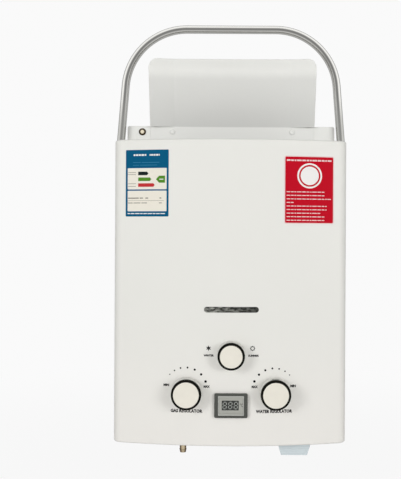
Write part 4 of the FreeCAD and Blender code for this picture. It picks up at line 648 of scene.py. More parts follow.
@cache
def finishes():
    """Every finish, by the record's slot name or by the piece that wears it."""
    tint = bpy.context.scene.heater_colours
    made = {
        # The cover's low tone is painted light, paler towards the bottom.
        "cover_enamel": enamel("cover_enamel_baked", tint.cover, 0.36, 0.010, 0.05, (0.845, 0.826, 0.785)),
        # The plate's paint is the sheet colour made brighter: painted light against the shade it stands in.
        "sheet_enamel": enamel("sheet_enamel_sprayed", scaled(tint.sheet, 1.15, 0.88), 0.46, 0.016, 0.12),
        "hood_sheet": sheet_with_painted_light("hood_enamel", tint.sheet, 0.46),
        "earth_brass": screw_with_painted_highlight("earth_screw_browned", (0.86, 0.78, 0.60), (0.05, 0.030, 0.013)),
        "zinc_sheet": plated_sheet("zinc_sheet_rolled", (0.62, 0.63, 0.64), 0.36),
        "stainless": tube_with_painted_reflections("stainless_tube", tint.handle),
        "bright_steel": turned_metal("bright_steel_plated", (0.60, 0.60, 0.61), 0.28),
        "yellow_zinc": turned_metal("yellow_zinc_plated", (0.66, 0.50, 0.24), 0.26, (0.62, 0.38, 0.30)),
        "brass": turned_metal(
            "brass_turned", (0.66, 0.57, 0.40), 0.27, (0.52, 0.42, 0.27), (0.09, 0.055, 0.025)
        ),
        "copper": copper_sheet("copper_drawn", (0.72, 0.40, 0.28)),
        "die_cast": cast_metal("die_cast_body", (0.58, 0.59, 0.60)),
        "burner_steel": tempered_sheet("burner_steel_tempered", (0.45, 0.44, 0.42)),
        "knob_black": two_shot_skirt("knob_skirt_two_shot", tint.ring, tint.cover, -0.1212),
        "knob_white": rimmed_cap("knob_cap_rimmed", tint.ring, tint.cap, 0.0006),
        "bezel_grey": moulded("bezel_moulded", tint.bezel, 0.44, 0.0003, 0.02),
        "circuit_board": printed_circuit("circuit_board_masked", (0.04, 0.20, 0.09)),
        "battery_plastic": moulded("battery_box_moulded", tint.battery, 0.42, 0.0005, 0.03),
        "lid_plastic": ribbed("battery_lid_ribbed", tint.battery, 0.42, 0.0026),
        "black_plastic": moulded("black_plastic_moulded", (0.03, 0.03, 0.032), 0.45),
        "rubber": moulded("rubber_moulded", (0.035, 0.035, 0.035), 0.72),
        "mica": smoked_mica("mica_smoked", (0.014, 0.015, 0.012), (0.36, 0.365, 0.33)),
    }
    for slot, name, base, *skin in (
        ("display_grey", "display_panel_skin", tint.panel, 0.24),
        ("cell_wrap", "cell_sleeve_wrap", (0.05, 0.06, 0.07), 0.25),
        ("ceramic", "ceramic_glazed", (0.82, 0.80, 0.74), 0.20),
        ("paper_film", "sticker_paper", tint.paper, 0.40),
        ("white_film", "sticker_white", (0.85, 0.835, 0.815), 0.36),
        ("pink_film", "sticker_pink", (0.80, 0.60, 0.60), 0.40, 0.0),
        ("edge_grey", "edging_pale", (0.50, 0.51, 0.48), 0.35, 0.0),
        ("digit_window", "digit_window_smoked", (0.016, 0.018, 0.015), 0.26, 0.0),
        ("digit_light", "digit_segment", (0.31, 0.325, 0.30), 0.30, 0.0),
        ("ink", "ink_printed", tint.ink, 0.50, 0.0, 0.06),
        ("faint_ink", "ink_thin", (0.10, 0.10, 0.095), 0.50, 0.0, 0.06),
        ("blue_film", "sticker_blue", tint.blue, 0.45, 0.0, 0.08),
        ("pale_blue_film", "sticker_pale_blue", (0.050, 0.230, 0.380), 0.45, 0.0, 0.08),
        ("red_film", "sticker_red", tint.red, 0.45, 0.0, 0.08),
        ("black_film", "sticker_black", (0.008, 0.014, 0.014), 0.45, 0.0, 0.08),
        ("green_film", "sticker_green", (0.085, 0.25, 0.025), 0.45, 0.0, 0.08),
        ("crimson_film", "sticker_crimson", (0.52, 0.035, 0.038), 0.45, 0.0, 0.08),
        ("ruled_film", "sticker_ruling", (0.15, 0.135, 0.105), 0.45, 0.0, 0.08),
    ):
        made[slot] = glossy_skin(name, base, *skin)
    return made


def dress(parts, **special):
    """Put on each of the named CAD nodes the finish of its slot, or one of its own."""
    for name in parts.split():
        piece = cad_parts[name]
        slot = special.get(name, piece.data.materials[0].name)
        piece.material_slots[0].link = "OBJECT"
        piece.material_slots[0].material = finishes()[slot]


# Flat work, its pieces, and the bowed front that most of it is laid on.


def bend(work):
    """Move flat work back onto the bowed front."""
    radius = sizes().bow_radius
    for vertex in work.verts:
        vertex.co.y += FRONT + radius - math.sqrt(radius**2 - vertex.co.x**2)


def rounded_outline(width, height, corner, steps=5):
    """A rounded rectangle about its own middle, counter-clockwise."""
    points = []
    for quarter, (side, end) in enumerate([(1, 1), (-1, 1), (-1, -1), (1, -1)]):
        for step in range(steps + 1):
            turn = (quarter + step / steps) * QUARTER
            x = side * (width / 2 - corner) + corner * math.cos(turn)
            points.append((x, end * (height / 2 - corner) + corner * math.sin(turn)))
    return points


def ring_outline(radius, steps=48):
    """A round outline about its own middle, counter-clockwise."""
    turns = [step * 2 * math.pi / steps for step in range(steps)]
    return [(radius * math.cos(turn), radius * math.sin(turn)) for turn in turns]


def stamp(work, outline, middle, proud, slot, rear=0.0003):
    """Add a flat piece with this outline to the work, standing proud of the front."""
    near, far = (
        [work.verts.new((middle[0] + x, depth, middle[1] + z)) for x, z in outline]
        for depth in (-proud, rear)
    )
    faces = [work.faces.new(near), work.faces.new(reversed(far))]
    for here in range(len(outline)):
        following = (here + 1) % len(outline)
        faces.append(work.faces.new((near[here], far[here], far[following], near[following])))
    for face in faces:
        face.material_index = slot


def new_piece(name, mesh, slots, body="root"):
    """Make a finished piece of a mesh, riding on a body."""
    piece = bpy.data.objects.new(name, mesh)
    bpy.context.scene.collection.objects.link(piece)
    for index, slot in enumerate(slots):
        if index < len(mesh.materials):
            mesh.materials[index] = finishes()[slot]
        else:
            mesh.materials.append(finishes()[slot])
    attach(piece, body)
    return piece


def worked_piece(name, work, slots, body="root"):
    """Make a piece of finished work."""
    bmesh.ops.recalc_face_normals(work, faces=work.faces)
    mesh = bpy.data.meshes.new(name)
    work.to_mesh(mesh)
    work.free()
    return new_piece(name, mesh, slots, body)


def level_piece(name, work, slots, depth):
    """Make a piece of flat work that stays flat, at a depth."""
    bmesh.ops.translate(work, verts=work.verts, vec=(0, depth, 0))
    return worked_piece(name, work, slots)


def flat_piece(name, work, slots, spacing=0.004):
    """Slice flat work into upright strips, bend it onto the front and make it a piece."""
    reach = [vertex.co.x for vertex in work.verts]
    cut = math.floor(min(reach) / spacing) * spacing + spacing
    while cut < max(reach):
        every = work.verts[:] + work.edges[:] + work.faces[:]
        bmesh.ops.bisect_plane(work, geom=every, plane_co=(cut, 0, 0), plane_no=(1, 0, 0))
        cut += spacing
    bend(work)
    return worked_piece(name, work, slots)


def bent_mesh_piece(name, meshes, slots):
    """Join flat meshes at their places, bend them onto the front and make one piece."""
    work = bmesh.new()
    for mesh, (x, z) in meshes:
        mesh.transform(Matrix.Translation((x, 0, z)))
        work.from_mesh(mesh)
        bpy.data.meshes.remove(mesh)
    bend(work)
    return worked_piece(name, work, slots)


def evaluated_mesh(holder):
    """The plain mesh that an object comes out as."""
    bpy.context.scene.collection.objects.link(holder)
    graph = bpy.context.evaluated_depsgraph_get()
    return bpy.data.meshes.new_from_object(holder.evaluated_get(graph), depsgraph=graph)


def grown(tree, values):
    """The plain mesh that a geometry tree grows from named values."""
    holder = bpy.data.objects.new(tree.name, bpy.data.meshes.new(tree.name))
    growth = holder.modifiers.new("growth", "NODES")
    growth.node_group = tree
    for item in tree.interface.items_tree:
        if item.in_out == "INPUT" and item.name in values:
            growth[item.identifier] = values[item.name]
    mesh = evaluated_mesh(holder)
    holder.modifiers.remove(growth)
    bpy.data.objects.remove(holder)
    return mesh


def lettered(word, height, width, bold):
    """A plain word as a mesh that stands upright about its middle, with a capital's height."""
    text = bpy.data.curves.new(word, "FONT")
    text.body = word
    text.align_x = "CENTER"
    text.align_y = "CENTER"
    text.size = height / CAPITAL
    text.resolution_u = 2
    text.extrude = sizes().ink_depth
    text.offset = bold
    holder = bpy.data.objects.new(word, text)
    mesh = evaluated_mesh(holder)
    bpy.data.objects.remove(holder)
    across = [vertex.co.x for vertex in mesh.vertices]
    squeeze = width / (max(across) - min(across))
    mesh.transform(Matrix.Rotation(QUARTER, 4, "X") @ Matrix.Diagonal((squeeze, 1, 1, 1)))
    return mesh


# Geometry trees.


class Growth(Group):
    """A geometry tree with named inputs, the last of them its material."""

    def __init__(self, name, inputs, material):
        super().__init__(name, {**inputs, material: None}, {"Geometry": "Geometry"}, "GeometryNodeTree")
        self.material = self.given[material]

    def bar(self, sides):
        """A cylinder of unit radius and height."""
        return self.get("GeometryNodeMeshCylinder", {"Vertices": sides, "Radius": 1.0, "Depth": 1.0}, "Mesh")

    def line(self, count, start, offset):
        """A row of points."""
        return self.get("GeometryNodeMeshLine", {"Count": count, "Start Location": start, "Offset": offset})

    def copies(self, points, instance, turn=(0.0, 0.0, 0.0), scale=(1.0, 1.0, 1.0)):
        """A copy of something on each point."""
        inputs = {"Points": points, "Instance": instance, "Rotation": turn, "Scale": scale}
        return self.get("GeometryNodeInstanceOnPoints", inputs)

    def join(self, *pieces):
        """Several geometries as one."""
        made = self.add("GeometryNodeJoinGeometry")
        for piece in pieces:
            self.tree.links.new(piece.socket, made.inputs[0])
        return Flow(self, made.outputs[0])

    def real(self, geometry):
        """Copies made into mesh."""
        return self.get("GeometryNodeRealizeInstances", {"Geometry": geometry})

    def end(self, geometry):
        """Close the tree with its realize and material nodes."""
        inputs = {"Geometry": self.real(geometry), "Material": self.material}
        self.tree.is_modifier = True
        return self.give(Geometry=self.get("GeometryNodeSetMaterial", inputs))


@cache
def dot_row():
    """Dots along an arc, growing from the first to the last."""
    group = Growth("dot_row", {
        "Count": 7, "Arc radius": 0.026, "First angle": 0.0, "Last angle": 1.0, "Bunching": 0.0,
        "First dot": 0.0005, "Last dot": 0.001, "Depth": 0.0001,
    }, "Ink")
    given = group.given
    share = group.get("GeometryNodeInputIndex") / (given["Count"] - 1.0)
    bunched = share - share * (1.0 - share) * given["Bunching"]
    turn = bunched * (given["Last angle"] - given["First angle"]) + given["First angle"]
    radius = share * (given["Last dot"] - given["First dot"]) + given["First dot"]
    across, upward = (group.calc(way, turn) * given["Arc radius"] for way in ("SINE", "COSINE"))
    inputs = {"Count": given["Count"], "Position": group.vector(across, 0.0, upward)}
    points = group.get("GeometryNodePoints", inputs)
    return group.end(group.copies(
        points, group.bar(20), (QUARTER, 0, 0), group.vector(radius, radius, given["Depth"])
    ))


@cache
def figure_row():
    """A row of figures eight, each of seven pointed bars, leaning to the right."""
    group = Growth("figure_row", {
        "Figures": 3, "Pitch": 0.007, "Height": 0.008, "Width": 0.004, "Bar width": 0.0009, "Lean": 0.1,
        "Depth": 0.0002,
    }, "Light")
    given = group.given
    half_width = given["Width"] * 0.5
    half_height = given["Height"] * 0.5
    rise = group.vector(0.0, 0.0, half_height)
    slim = given["Bar width"] * (1 / math.sqrt(3))
    level = group.line(3, group.vector(0.0, 0.0, half_height * -1.0), rise)
    rows = [(level, 0.0, half_width * 0.86)]
    for side in (-1.0, 1.0):
        upright = group.line(2, group.vector(half_width * side, 0.0, half_height * -0.5), rise)
        rows.append((upright, QUARTER, half_height * 0.44))
    bars = group.join(*(
        group.copies(points, group.bar(6), (QUARTER, turn, 0), group.vector(reach, slim, given["Depth"]))
        for points, turn, reach in rows
    ))
    first = (given["Figures"] - 1.0) * -0.5 * given["Pitch"]
    row = group.line(given["Figures"], group.vector(first, 0.0, 0.0), group.vector(given["Pitch"], 0.0, 0.0))
    solid = group.real(group.copies(row, bars))
    height = group.parts(group.get("GeometryNodeInputPosition"))[2]
    shift = group.vector(height * given["Lean"], 0.0, 0.0)
    return group.end(group.get("GeometryNodeSetPosition", {"Geometry": solid, "Offset": shift}))


@cache
def weather_mark():
    """A ring with bars that point outwards, as a sun or a snow crystal."""
    group = Growth("weather_mark", {
        "Arms": 8, "Arm start": 0.002, "Arm length": 0.001, "Arm width": 0.0005, "Ring radius": 0.0015,
        "Ring width": 0.0004, "Depth": 0.0001,
    }, "Ink")
    given = group.given
    turn = group.get("GeometryNodeInputIndex") / given["Arms"] * (2 * math.pi)
    half = given["Arm length"] * 0.5
    middle = given["Arm start"] + half
    across, upward = (group.calc(way, turn) * middle for way in ("SINE", "COSINE"))
    inputs = {"Count": given["Arms"], "Position": group.vector(across, 0.0, upward)}
    points = group.get("GeometryNodePoints", inputs)
    facing = group.get("FunctionNodeEulerToRotation", {0: group.vector(QUARTER, turn - QUARTER, 0.0)})
    slim = given["Arm width"] * (1 / math.sqrt(3))
    arms = group.copies(points, group.bar(6), facing, group.vector(half, slim, given["Depth"]))
    path = group.get("GeometryNodeCurvePrimitiveCircle", {"Resolution": 28, "Radius": given["Ring radius"]})
    band = group.get("GeometryNodeCurvePrimitiveQuadrilateral", {0: given["Ring width"], 1: given["Depth"]})
    ring = group.get("GeometryNodeCurveToMesh", {0: path, 1: band})
    stood = group.get("GeometryNodeTransform", {"Geometry": ring, "Rotation": (QUARTER, 0, 0)})
    return group.end(group.join(stood, arms))


@cache
def pipe_thread():
    """The turns of a pipe thread, as one ridge that climbs round a stub."""
    group = Growth("pipe_thread", {
        "Radius": 0.0104, "Pitch": 0.0018, "Length": 0.012, "Ridge": 0.0006,
    }, "Metal")
    given = group.given
    climb = group.get("GeometryNodeCurveSpiral", {
        "Resolution": 40, "Rotations": given["Length"] / given["Pitch"], "Start Radius": given["Radius"],
        "End Radius": given["Radius"], "Height": given["Length"],
    })
    upright = group.get("GeometryNodeSetCurveNormal", {"Curve": climb}, mode="Z_UP")
    crest = group.get("GeometryNodeCurvePrimitiveCircle", {"Resolution": 4, "Radius": given["Ridge"]})
    return group.end(group.get("GeometryNodeCurveToMesh", {0: upright, 1: crest, "Fill Caps": True}))


# Operators: one for each piece or group of like pieces, and one for the stage.


class HEATER_OT_case(bpy.types.Operator):
    """Finish the cover, plates, hood, handle and fasteners, and set the pane behind the slot"""

    bl_idname = "heater.case"
    bl_label = "Case and Handle"

    def execute(self, context):
        dress(
            "front_cover back_plate bottom_plate top_panel rain_hood hood_screws earth_screw cover_screws "
            "carry_handle handle_bolts handle_washers handle_nuts",
            rain_hood="hood_sheet", earth_screw="earth_brass",
        )
        width, height, corner = 0.0750, 0.0130, 0.0008
        middle, sunk, rear = (0.0017, -0.1790), 0.0012, 0.0017
        pane = bmesh.new()
        stamp(pane, rounded_outline(width, height, corner), middle, -sunk, 0, rear)
        flat_piece("sight_pane", pane, ["mica"])
        return {"FINISHED"}


class HEATER_OT_knobs(bpy.types.Operator):
    """Finish the three knobs and put the index dash on the water knob"""

    bl_idname = "heater.knobs"
    bl_label = "Knobs"

    def execute(self, context):
        for knob in KNOBS:
            dress(f"{knob}_skirt {knob}_cap {knob}_shaft")
        low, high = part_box("water_knob_skirt")
        centre = (low + high) / 2
        section = ((-0.1192, 0.0181), (-0.1192, 0.01865), (-0.1182, 0.01868), (-0.1182, 0.0181))
        steps, reach = 10, math.radians(15)
        dash = bmesh.new()
        rows = []
        for step in range(steps + 1):
            turn = (2 * step / steps - 1) * reach
            aside, above = math.sin(turn), math.cos(turn)
            rows.append([
                dash.verts.new((centre.x + radius * aside, depth, centre.z + radius * above))
                for depth, radius in section
            ])
        for near, far in zip(rows, rows[1:]):
            for side in range(4):
                following = (side + 1) % 4
                dash.faces.new((near[side], near[following], far[following], far[side]))
        dash.faces.new(rows[0])
        dash.faces.new(rows[-1])
        worked_piece("index_dash", dash, ["ink"], "water_knob")
        return {"FINISHED"}


class HEATER_OT_works(bpy.types.Operator):
    """Finish the burner, heat exchanger, valves, pipes and fittings"""

    bl_idname = "heater.works"
    bl_label = "Burner, Exchanger and Valves"

    def execute(self, context):
        dress(
            "burner_frame burner_bars gas_manifold gas_jets combustion_chamber flame_sensor "
            "ignition_electrode chamber_bracket overheat_sensor heat_exchanger_fins exchanger_tubes "
            "flue_collector gas_valve_body gas_solenoid microswitch season_valve water_valve_cover "
            "diaphragm water_valve_body push_rod valve_screws cold_inlet_fitting hot_outlet_fitting "
            "gas_inlet_fitting drain_plug cold_pipe hot_pipe igniter_box"
        )
        return {"FINISHED"}


class HEATER_OT_threads(bpy.types.Operator):
    """Wind the pipe threads round the two water stubs"""

    bl_idname = "heater.threads"
    bl_label = "Pipe Threads"

    def execute(self, context):
        size = sizes()
        wound, lead_in = 0.0104, 0.0014
        for name in ("cold_inlet", "hot_outlet"):
            low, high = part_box(f"{name}_fitting")
            centre = (low + high) / 2
            turns = grown(pipe_thread(), {
                "Radius": size.thread_radius - size.thread_ridge, "Pitch": size.thread_pitch, "Length": wound,
                "Ridge": 2 * size.thread_ridge, "Metal": finishes()["brass"],
            })
            turns.transform(Matrix.Translation((centre.x, centre.y, low.z + lead_in)))
            piece = new_piece(f"{name}_thread", turns, ["brass"])
        return {"FINISHED"}


class HEATER_OT_battery(bpy.types.Operator):
    """Finish the battery box, its lid, cells and contacts"""

    bl_idname = "heater.battery"
    bl_label = "Battery Box"

    def execute(self, context):
        dress(
            "battery_box lid_hinge_pin battery_lid lid_contacts batteries battery_contacts",
            battery_lid="lid_plastic",
        )
        return {"FINISHED"}


class HEATER_OT_display(bpy.types.Operator):
    """Finish the display and set its figures in their smoked window"""

    bl_idname = "heater.display"
    bl_label = "Display"

    def execute(self, context):
        size = sizes()
        dress("display_bezel display_window display_board")
        low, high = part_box("display_window")
        centre = (low + high) / 2
        aside, above = -0.0008, 0.0004
        x, z = centre.x + aside, centre.z + above
        width, height, corner, proud = 0.0206, 0.0118, 0.0006, 0.0002
        pane = bmesh.new()
        stamp(pane, rounded_outline(width, height, corner), (x, z), proud, 0)
        level_piece("figure_window", pane, ["digit_window"], low.y)
        self.edge_panel(centre.x, centre.z)
        tall = size.digit_height
        figures = grown(figure_row(), {
            "Figures": 3, "Pitch": size.digit_pitch, "Height": tall, "Width": tall * 0.5,
            "Bar width": tall * 0.13, "Lean": 0.07, "Depth": 0.0004, "Light": finishes()["digit_light"],
        })
        figures.transform(Matrix.Translation((x, low.y - 0.00012, z)))
        new_piece("display_figures", figures, ["digit_light"])
        unit_height, unit_width, unit_bold, unit_aside = 0.0040, 0.0038, 0.00008, 0.0136
        unit = lettered("°C", unit_height, unit_width, unit_bold)
        unit.transform(Matrix.Translation((x + unit_aside, low.y - 0.00002, z)))
        new_piece("degree_mark", unit, ["faint_ink"])
        return {"FINISHED"}

    def edge_panel(self, x, z):
        """Grey strips that widen the panel above and below, and a pale line round it."""
        width, height, line, strip, corner = 0.0300, 0.0224, 0.0006, 0.0018, 0.0001
        beside, above = (width + line) / 2, (height + line) / 2
        work = bmesh.new()
        for side in (-1, 1):
            for wide, tall, middle, proud, slot in (
                (width, strip, (x, z + side * (height - strip) / 2), 0.0001, 0),
                (width + 2 * line, line, (x, z + side * above), 0.00014, 1),
                (line, height, (x + side * beside, z), 0.00014, 1),
            ):
                stamp(work, rounded_outline(wide, tall, corner), middle, proud, slot, 0.0)
        level_piece("panel_edging", work, ["display_grey", "edge_grey"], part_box("display_bezel")[0].y)


class Sticker:
    """A sticker under construction: a ground and the print on it, measured from its upper left corner."""

    def __init__(self, middle, size):
        self.x, self.z = middle
        self.width, self.height = size
        self.left = self.x - self.width / 2
        self.top = self.z + self.height / 2
        self.film = sizes().film_depth
        self.printed = self.film + sizes().ink_depth
        self.work = bmesh.new()

    def block(self, width, height, corner, level, proud, slot):
        """A rounded block, centred across the sticker."""
        stamp(self.work, rounded_outline(width, height, corner), (self.x, level), proud, slot)

    def dashes(self, left, drop, pieces, tall, proud, slot):
        """A row of plain dashes where a line of print would be: pairs of a width and the gap after it."""
        left += self.left
        for wide, gap in pieces:
            middle = (left + wide / 2, self.top - drop)
            stamp(self.work, rounded_outline(wide, tall, tall * 0.2), middle, proud, slot)
            left += wide + gap


class HEATER_OT_stickers(bpy.types.Operator):
    """Lay the two plain stickers on the front, with ruled lines and bars but no words"""

    bl_idname = "heater.stickers"
    bl_label = "Stickers"

    def execute(self, context):
        self.lay_blue(Sticker(sizes().blue_sticker, sizes().blue_size))
        self.lay_red(Sticker(sizes().red_sticker, sizes().red_size))
        return {"FINISHED"}

    def lay_blue(self, film):
        """A blue ground with two pale panels, blank rules and dashes, and pointed bars."""
        blue, white, paper, black, green, crimson, ruled, pale = range(8)
        wide, high, printed = film.width, film.height, film.printed
        mark = printed + 2 * LAYER
        film.block(wide, high, 0.0011, film.z, film.film, blue)
        panel = wide * 0.890
        for upper, lower in ((0.281, 0.587), (0.620, 0.915)):
            level, tall = film.top - (upper + lower) / 2 * high, (lower - upper) * high
            film.block(panel + 0.0010, tall + 0.0010, 0.0008, level, printed, white)
            film.block(panel, tall, 0.0005, level, printed + LAYER, paper)
        for left, widths in ((0.0098, (24, 30, 26, 34, 22)), (0.0300, (14, 22, 26, 28, 12))):
            pieces = [(dash / 10000, 0.0006) for dash in widths]
            film.dashes(left, 0.078 * high, pieces, 0.0021, printed, white)
        for share, word, rule in ((0.190, 0.0100, 0.0220), (0.230, 0.0076, 0.0216)):
            film.dashes(0.0090, share * high, ((word, 0.0012), (rule, 0.0)), 0.0005, printed, pale)
        half, tip = 0.0022, 0.0018
        for share, long, slot in ((0.355, 0.0129, black), (0.442, 0.0165, green), (0.529, 0.0209, crimson)):
            bar = [(0, -half), (long - tip, -half), (long, 0), (long - tip, half), (0, half)]
            stamp(film.work, bar, (film.left + 0.292 * wide, film.top - share * high), mark, slot)
        arrow = [(0.0113, -0.0043), (0.0113, 0.0043), (0.0038, 0.0043), (0, 0), (0.0038, -0.0043)]
        stamp(film.work, arrow, (film.left + 0.708 * wide, film.top - 0.443 * high), mark, green)
        film.dashes(0.708 * wide + 0.0042, 0.443 * high, ((0.0050, 0.0),), 0.0010, mark + LAYER, white)
        label = ((0.0100, 0.0),)
        for share, tall, pieces in (
            (0.341, 0.0005, label), (0.371, 0.0005, label), (0.508, 0.0005, label), (0.548, 0.0005, label),
            (0.724, 0.0011, ((0.0136, 0.0012), (0.0042, 0.0030), (0.0036, 0.0140), (0.0024, 0.0))),
            (0.762, 0.0003, ((0.0450, 0.0),)),
            (0.797, 0.0008, ((0.0060, 0.0010), (0.0090, 0.0010), (0.0070, 0.0150), (0.0036, 0.0))),
        ):
            film.dashes(0.0029, share * high, pieces, tall, mark, ruled)
        foot = [(0.0034 + 0.0012 * (step % 3), 0.0007) for step in range(9)]
        film.dashes(0.0025, 0.956 * high, foot, 0.0011, printed, white)
        flat_piece("blue_sticker", film.work, [
            "blue_film", "white_film", "paper_film", "black_film", "green_film", "crimson_film", "ruled_film",
            "pale_blue_film",
        ])

    def lay_red(self, film):
        """A red ground with a pale edge, an empty round and rows of plain dashes."""
        red, white, pink = range(3)
        printed = film.printed
        film.block(film.width, film.height, 0.0022, film.z, film.film, pink)
        film.block(film.width - 0.0024, film.height - 0.0024, 0.0014, film.z, printed, red)
        round_middle = (film.x + 0.0004, film.top - 0.0244)
        for layer, (radius, slot) in enumerate(((0.0155, white), (0.0134, red), (0.0114, white)), 1):
            stamp(film.work, ring_outline(radius), round_middle, printed + layer * LAYER, slot)
        rows = [(0.0056, 0.0019, 0.0560)]
        reaches = (0.0490, 0.0490, 0.0555, 0.0086, 0.0540, 0.0520, 0.0420, 0.0500, 0.0495)
        for line, reach in enumerate(reaches):
            rows.append((0.0443 + 0.00436 * line, 0.0011, reach))
        gap, shortest = 0.0008, 0.003
        for drop, tall, reach in rows:
            pieces = []
            gone = 0.0
            while gone < reach - shortest:
                wide = min(0.0022 + 0.0012 * ((len(pieces) * 7 + len(rows)) % 4), reach - gone)
                pieces.append((wide, gap))
                gone += wide + gap
            film.dashes(0.0030, drop, pieces, tall, printed + LAYER, pink)
        flat_piece("red_sticker", film.work, ["red_film", "white_film", "pink_film"])


class HEATER_OT_scales(bpy.types.Operator):
    """Print the knobs' rows of dots, weather marks and plain scale words"""

    bl_idname = "heater.scales"
    bl_label = "Printed Scales"

    def execute(self, context):
        size = sizes()
        mark = {"Depth": 2 * size.ink_depth, "Ink": finishes()["ink"]}
        small, large = size.small_dot, size.large_dot
        rows = []
        for middle, first, last, bunching, first_dot, last_dot in (
            (size.gas_scale, size.gas_first, size.gas_last, 0.18, small, large),
            (size.water_scale, size.water_first, size.water_last, -0.18, large, small),
        ):
            rows.append((grown(dot_row(), {
                **mark, "Count": size.dot_count, "Arc radius": size.scale_radius, "First angle": first,
                "Last angle": last, "Bunching": bunching, "First dot": first_dot, "Last dot": last_dot,
            }), middle))
        bent_mesh_piece("scale_dots", rows, ["ink"])
        marks = []
        for middle, arms, start, reach, ring, width in (
            ((-0.0260, -0.2260), 6, 0.0, 0.0034, 0.0015, 0.0006),
            ((0.0278, -0.2261), 8, 0.0024, 0.0008, 0.0022, 0.0008),
        ):
            marks.append((grown(weather_mark(), {
                **mark, "Arms": arms, "Arm start": start, "Arm length": reach, "Arm width": 0.0009,
                "Ring radius": ring, "Ring width": width,
            }), middle))
        bent_mesh_piece("weather_marks", marks, ["ink"])
        words = [(lettered(word, *shape), middle) for word, middle, *shape in (
            ("MIN", (-0.0776, -0.2720), 0.0027, 0.0068, 0.00022),
            ("MAX", (-0.0282, -0.2731), 0.0027, 0.0074, 0.00022),
            ("MAX", (0.0304, -0.2731), 0.0027, 0.0074, 0.00022),
            ("MIN", (0.0778, -0.2726), 0.0027, 0.0068, 0.00022),
            ("GAS REGULATOR", (-0.0528, -0.3032), 0.0036, 0.0390, 0.00024),
            ("WATER REGULATOR", (0.0544, -0.3033), 0.0036, 0.0446, 0.00024),
            ("WINTER", (-0.0258, -0.2350), 0.0022, 0.0126, 0.00016),
            ("SUMMER", (0.0289, -0.2351), 0.0022, 0.0132, 0.00016),
        )]
        bent_mesh_piece("scale_words", words, ["ink"])
        return {"FINISHED"}


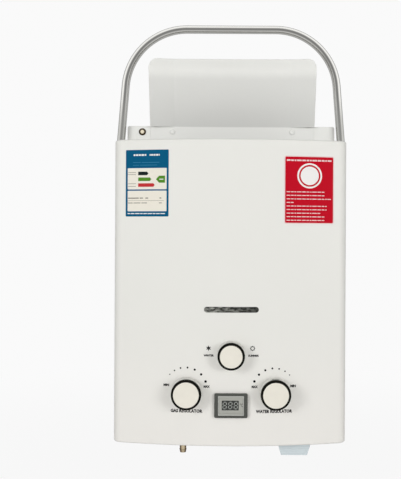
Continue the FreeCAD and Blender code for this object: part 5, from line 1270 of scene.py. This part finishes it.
class HEATER_OT_stage(bpy.types.Operator):
    """Set the floor, the soft lamps, the pale surround and the camera"""

    bl_idname = "heater.stage"
    bl_label = "Stage"

    def execute(self, context):
        self.lay_floor()
        self.light_surround()
        self.hang_lamp("key_lamp", (-1.85, -2.20, 0.45), 28.9)
        self.hang_lamp("fill_lamp", (1.75, -2.20, 0.25), 25.1)
        self.set_camera()
        context.scene.view_settings.view_transform = "Standard"
        return {"FINISHED"}

    def lay_floor(self):
        """A pale round floor, low enough for the open battery lid, that melts into the surround far away."""
        reach = 14.0
        disc = bmesh.new()
        bmesh.ops.create_circle(disc, cap_ends=True, segments=96, radius=reach)
        bmesh.ops.translate(disc, verts=disc.verts, vec=(0, 0, CAD_BOX[0].z - sizes().lid_room))
        mesh = bpy.data.meshes.new("floor")
        disc.to_mesh(mesh)
        disc.free()
        floor = bpy.data.objects.new("floor", mesh)
        bpy.context.scene.collection.objects.link(floor)
        material = bpy.data.materials.new("pale_floor")
        material.use_nodes = True
        graph = Graph(material.node_tree)
        shader = graph.tree.nodes["Principled BSDF"]
        shader.inputs["Roughness"].default_value = 0.9
        where = graph.place()
        matt = graph.mix(graph.noise(where, 0.004, 3.0), (0.87, 0.87, 0.87), (0.90, 0.90, 0.90))
        graph.feed(shader.inputs["Base Color"], matt)
        near_share, start, end = 0.95, 0.45, 1.1
        far = graph.remap(graph.span(where), start, end, interpolation_type="SMOOTHSTEP")
        share = (far * (1 - near_share) + near_share) * graph.seen_directly()
        glow = graph.get("ShaderNodeEmission", {"Color": SEEN_WHITE, "Strength": 1.0})
        mixed = graph.get("ShaderNodeMixShader", {0: share, 1: Flow(graph, shader.outputs[0]), 2: glow})
        graph.feed(graph.tree.nodes["Material Output"].inputs["Surface"], mixed)
        mesh.materials.append(material)

    def light_surround(self):
        """A soft sky, dimmer to the left and right, that lights the heater and is seen as plain white."""
        world = bpy.data.worlds.new("surround")
        bpy.context.scene.world = world
        world.use_nodes = True
        graph = Graph(world.node_tree)
        graph.tree.nodes.clear()
        level, side_loss = 0.515, 0.51
        sideways = graph.parts(graph.place())[0]
        strength = sideways * sideways * -side_loss + level
        sky = graph.get("ShaderNodeBackground", {"Color": (1.0, 1.0, 0.99, 1.0), "Strength": strength})
        white = graph.get("ShaderNodeBackground", {"Color": SEEN_WHITE, "Strength": 1.0})
        mixed = graph.get("ShaderNodeMixShader", {0: graph.seen_directly(), 1: sky, 2: white})
        graph.add("ShaderNodeOutputWorld", {0: mixed}).is_active_output = True

    def hang_lamp(self, name, where, power):
        """A square soft lamp aimed at the heater."""
        lamp = bpy.data.lights.new(name, "AREA")
        lamp.shape = "SQUARE"
        lamp.size = 1.1
        lamp.energy = power
        holder = bpy.data.objects.new(name, lamp)
        bpy.context.scene.collection.objects.link(holder)
        holder.visible_glossy = False
        holder.location = where
        aim = Vector((0, -0.08, -0.10)) - Vector(where)
        holder.rotation_euler = aim.to_track_quat("-Z", "Y").to_euler()

    def set_camera(self):
        """A level camera in front of the heater, shifted so that the heater stands right of the middle."""
        lens = bpy.data.cameras.new("camera")
        lens.sensor_width = 36.0
        lens.lens = 52.59
        lens.shift_x = -0.0624
        camera = bpy.data.objects.new("camera", lens)
        bpy.context.scene.collection.objects.link(camera)
        camera.location = (0.0, -0.963, -0.0933)
        upright = Matrix.Rotation(QUARTER, 3, "X")
        camera.rotation_euler = (upright @ Matrix.Rotation(math.radians(0.3), 3, "Z")).to_euler()
        bpy.context.scene.camera = camera


OPERATORS = (
    HEATER_OT_case,
    HEATER_OT_knobs,
    HEATER_OT_works,
    HEATER_OT_threads,
    HEATER_OT_battery,
    HEATER_OT_display,
    HEATER_OT_stickers,
    HEATER_OT_scales,
    HEATER_OT_stage,
)


class HEATER_PT_panel(bpy.types.Panel):
    """The heater's steps, sizes and colours"""

    bl_idname = "HEATER_PT_panel"
    bl_label = "Water Heater"
    bl_space_type = "VIEW_3D"
    bl_region_type = "UI"
    bl_category = "Heater"

    def draw(self, context):
        for step in OPERATORS:
            self.layout.operator(step.bl_idname)
        for settings in (context.scene.heater_sizes, context.scene.heater_colours):
            box = self.layout.box()
            for setting in settings.bl_rna.properties:
                if setting.identifier not in {"rna_type", "name"}:
                    box.prop(settings, setting.identifier)


CLASSES = (HeaterSizes, HeaterColours, *OPERATORS, HEATER_PT_panel)


def register():
    """Add the heater's classes and settings to Blender."""
    for kind in CLASSES:
        bpy.utils.register_class(kind)
    bpy.types.Scene.heater_sizes = PointerProperty(type=HeaterSizes)
    bpy.types.Scene.heater_colours = PointerProperty(type=HeaterColours)


def unregister():
    """Take the heater's classes and settings away again."""
    del bpy.types.Scene.heater_colours
    del bpy.types.Scene.heater_sizes
    for kind in reversed(CLASSES):
        bpy.utils.unregister_class(kind)


def main():
    """Make every piece in order."""
    register()
    for step in (
        bpy.ops.heater.case, bpy.ops.heater.knobs, bpy.ops.heater.works, bpy.ops.heater.threads,
        bpy.ops.heater.battery, bpy.ops.heater.display, bpy.ops.heater.stickers, bpy.ops.heater.scales,
        bpy.ops.heater.stage,
    ):
        step()


if __name__ == "__main__":
    main()
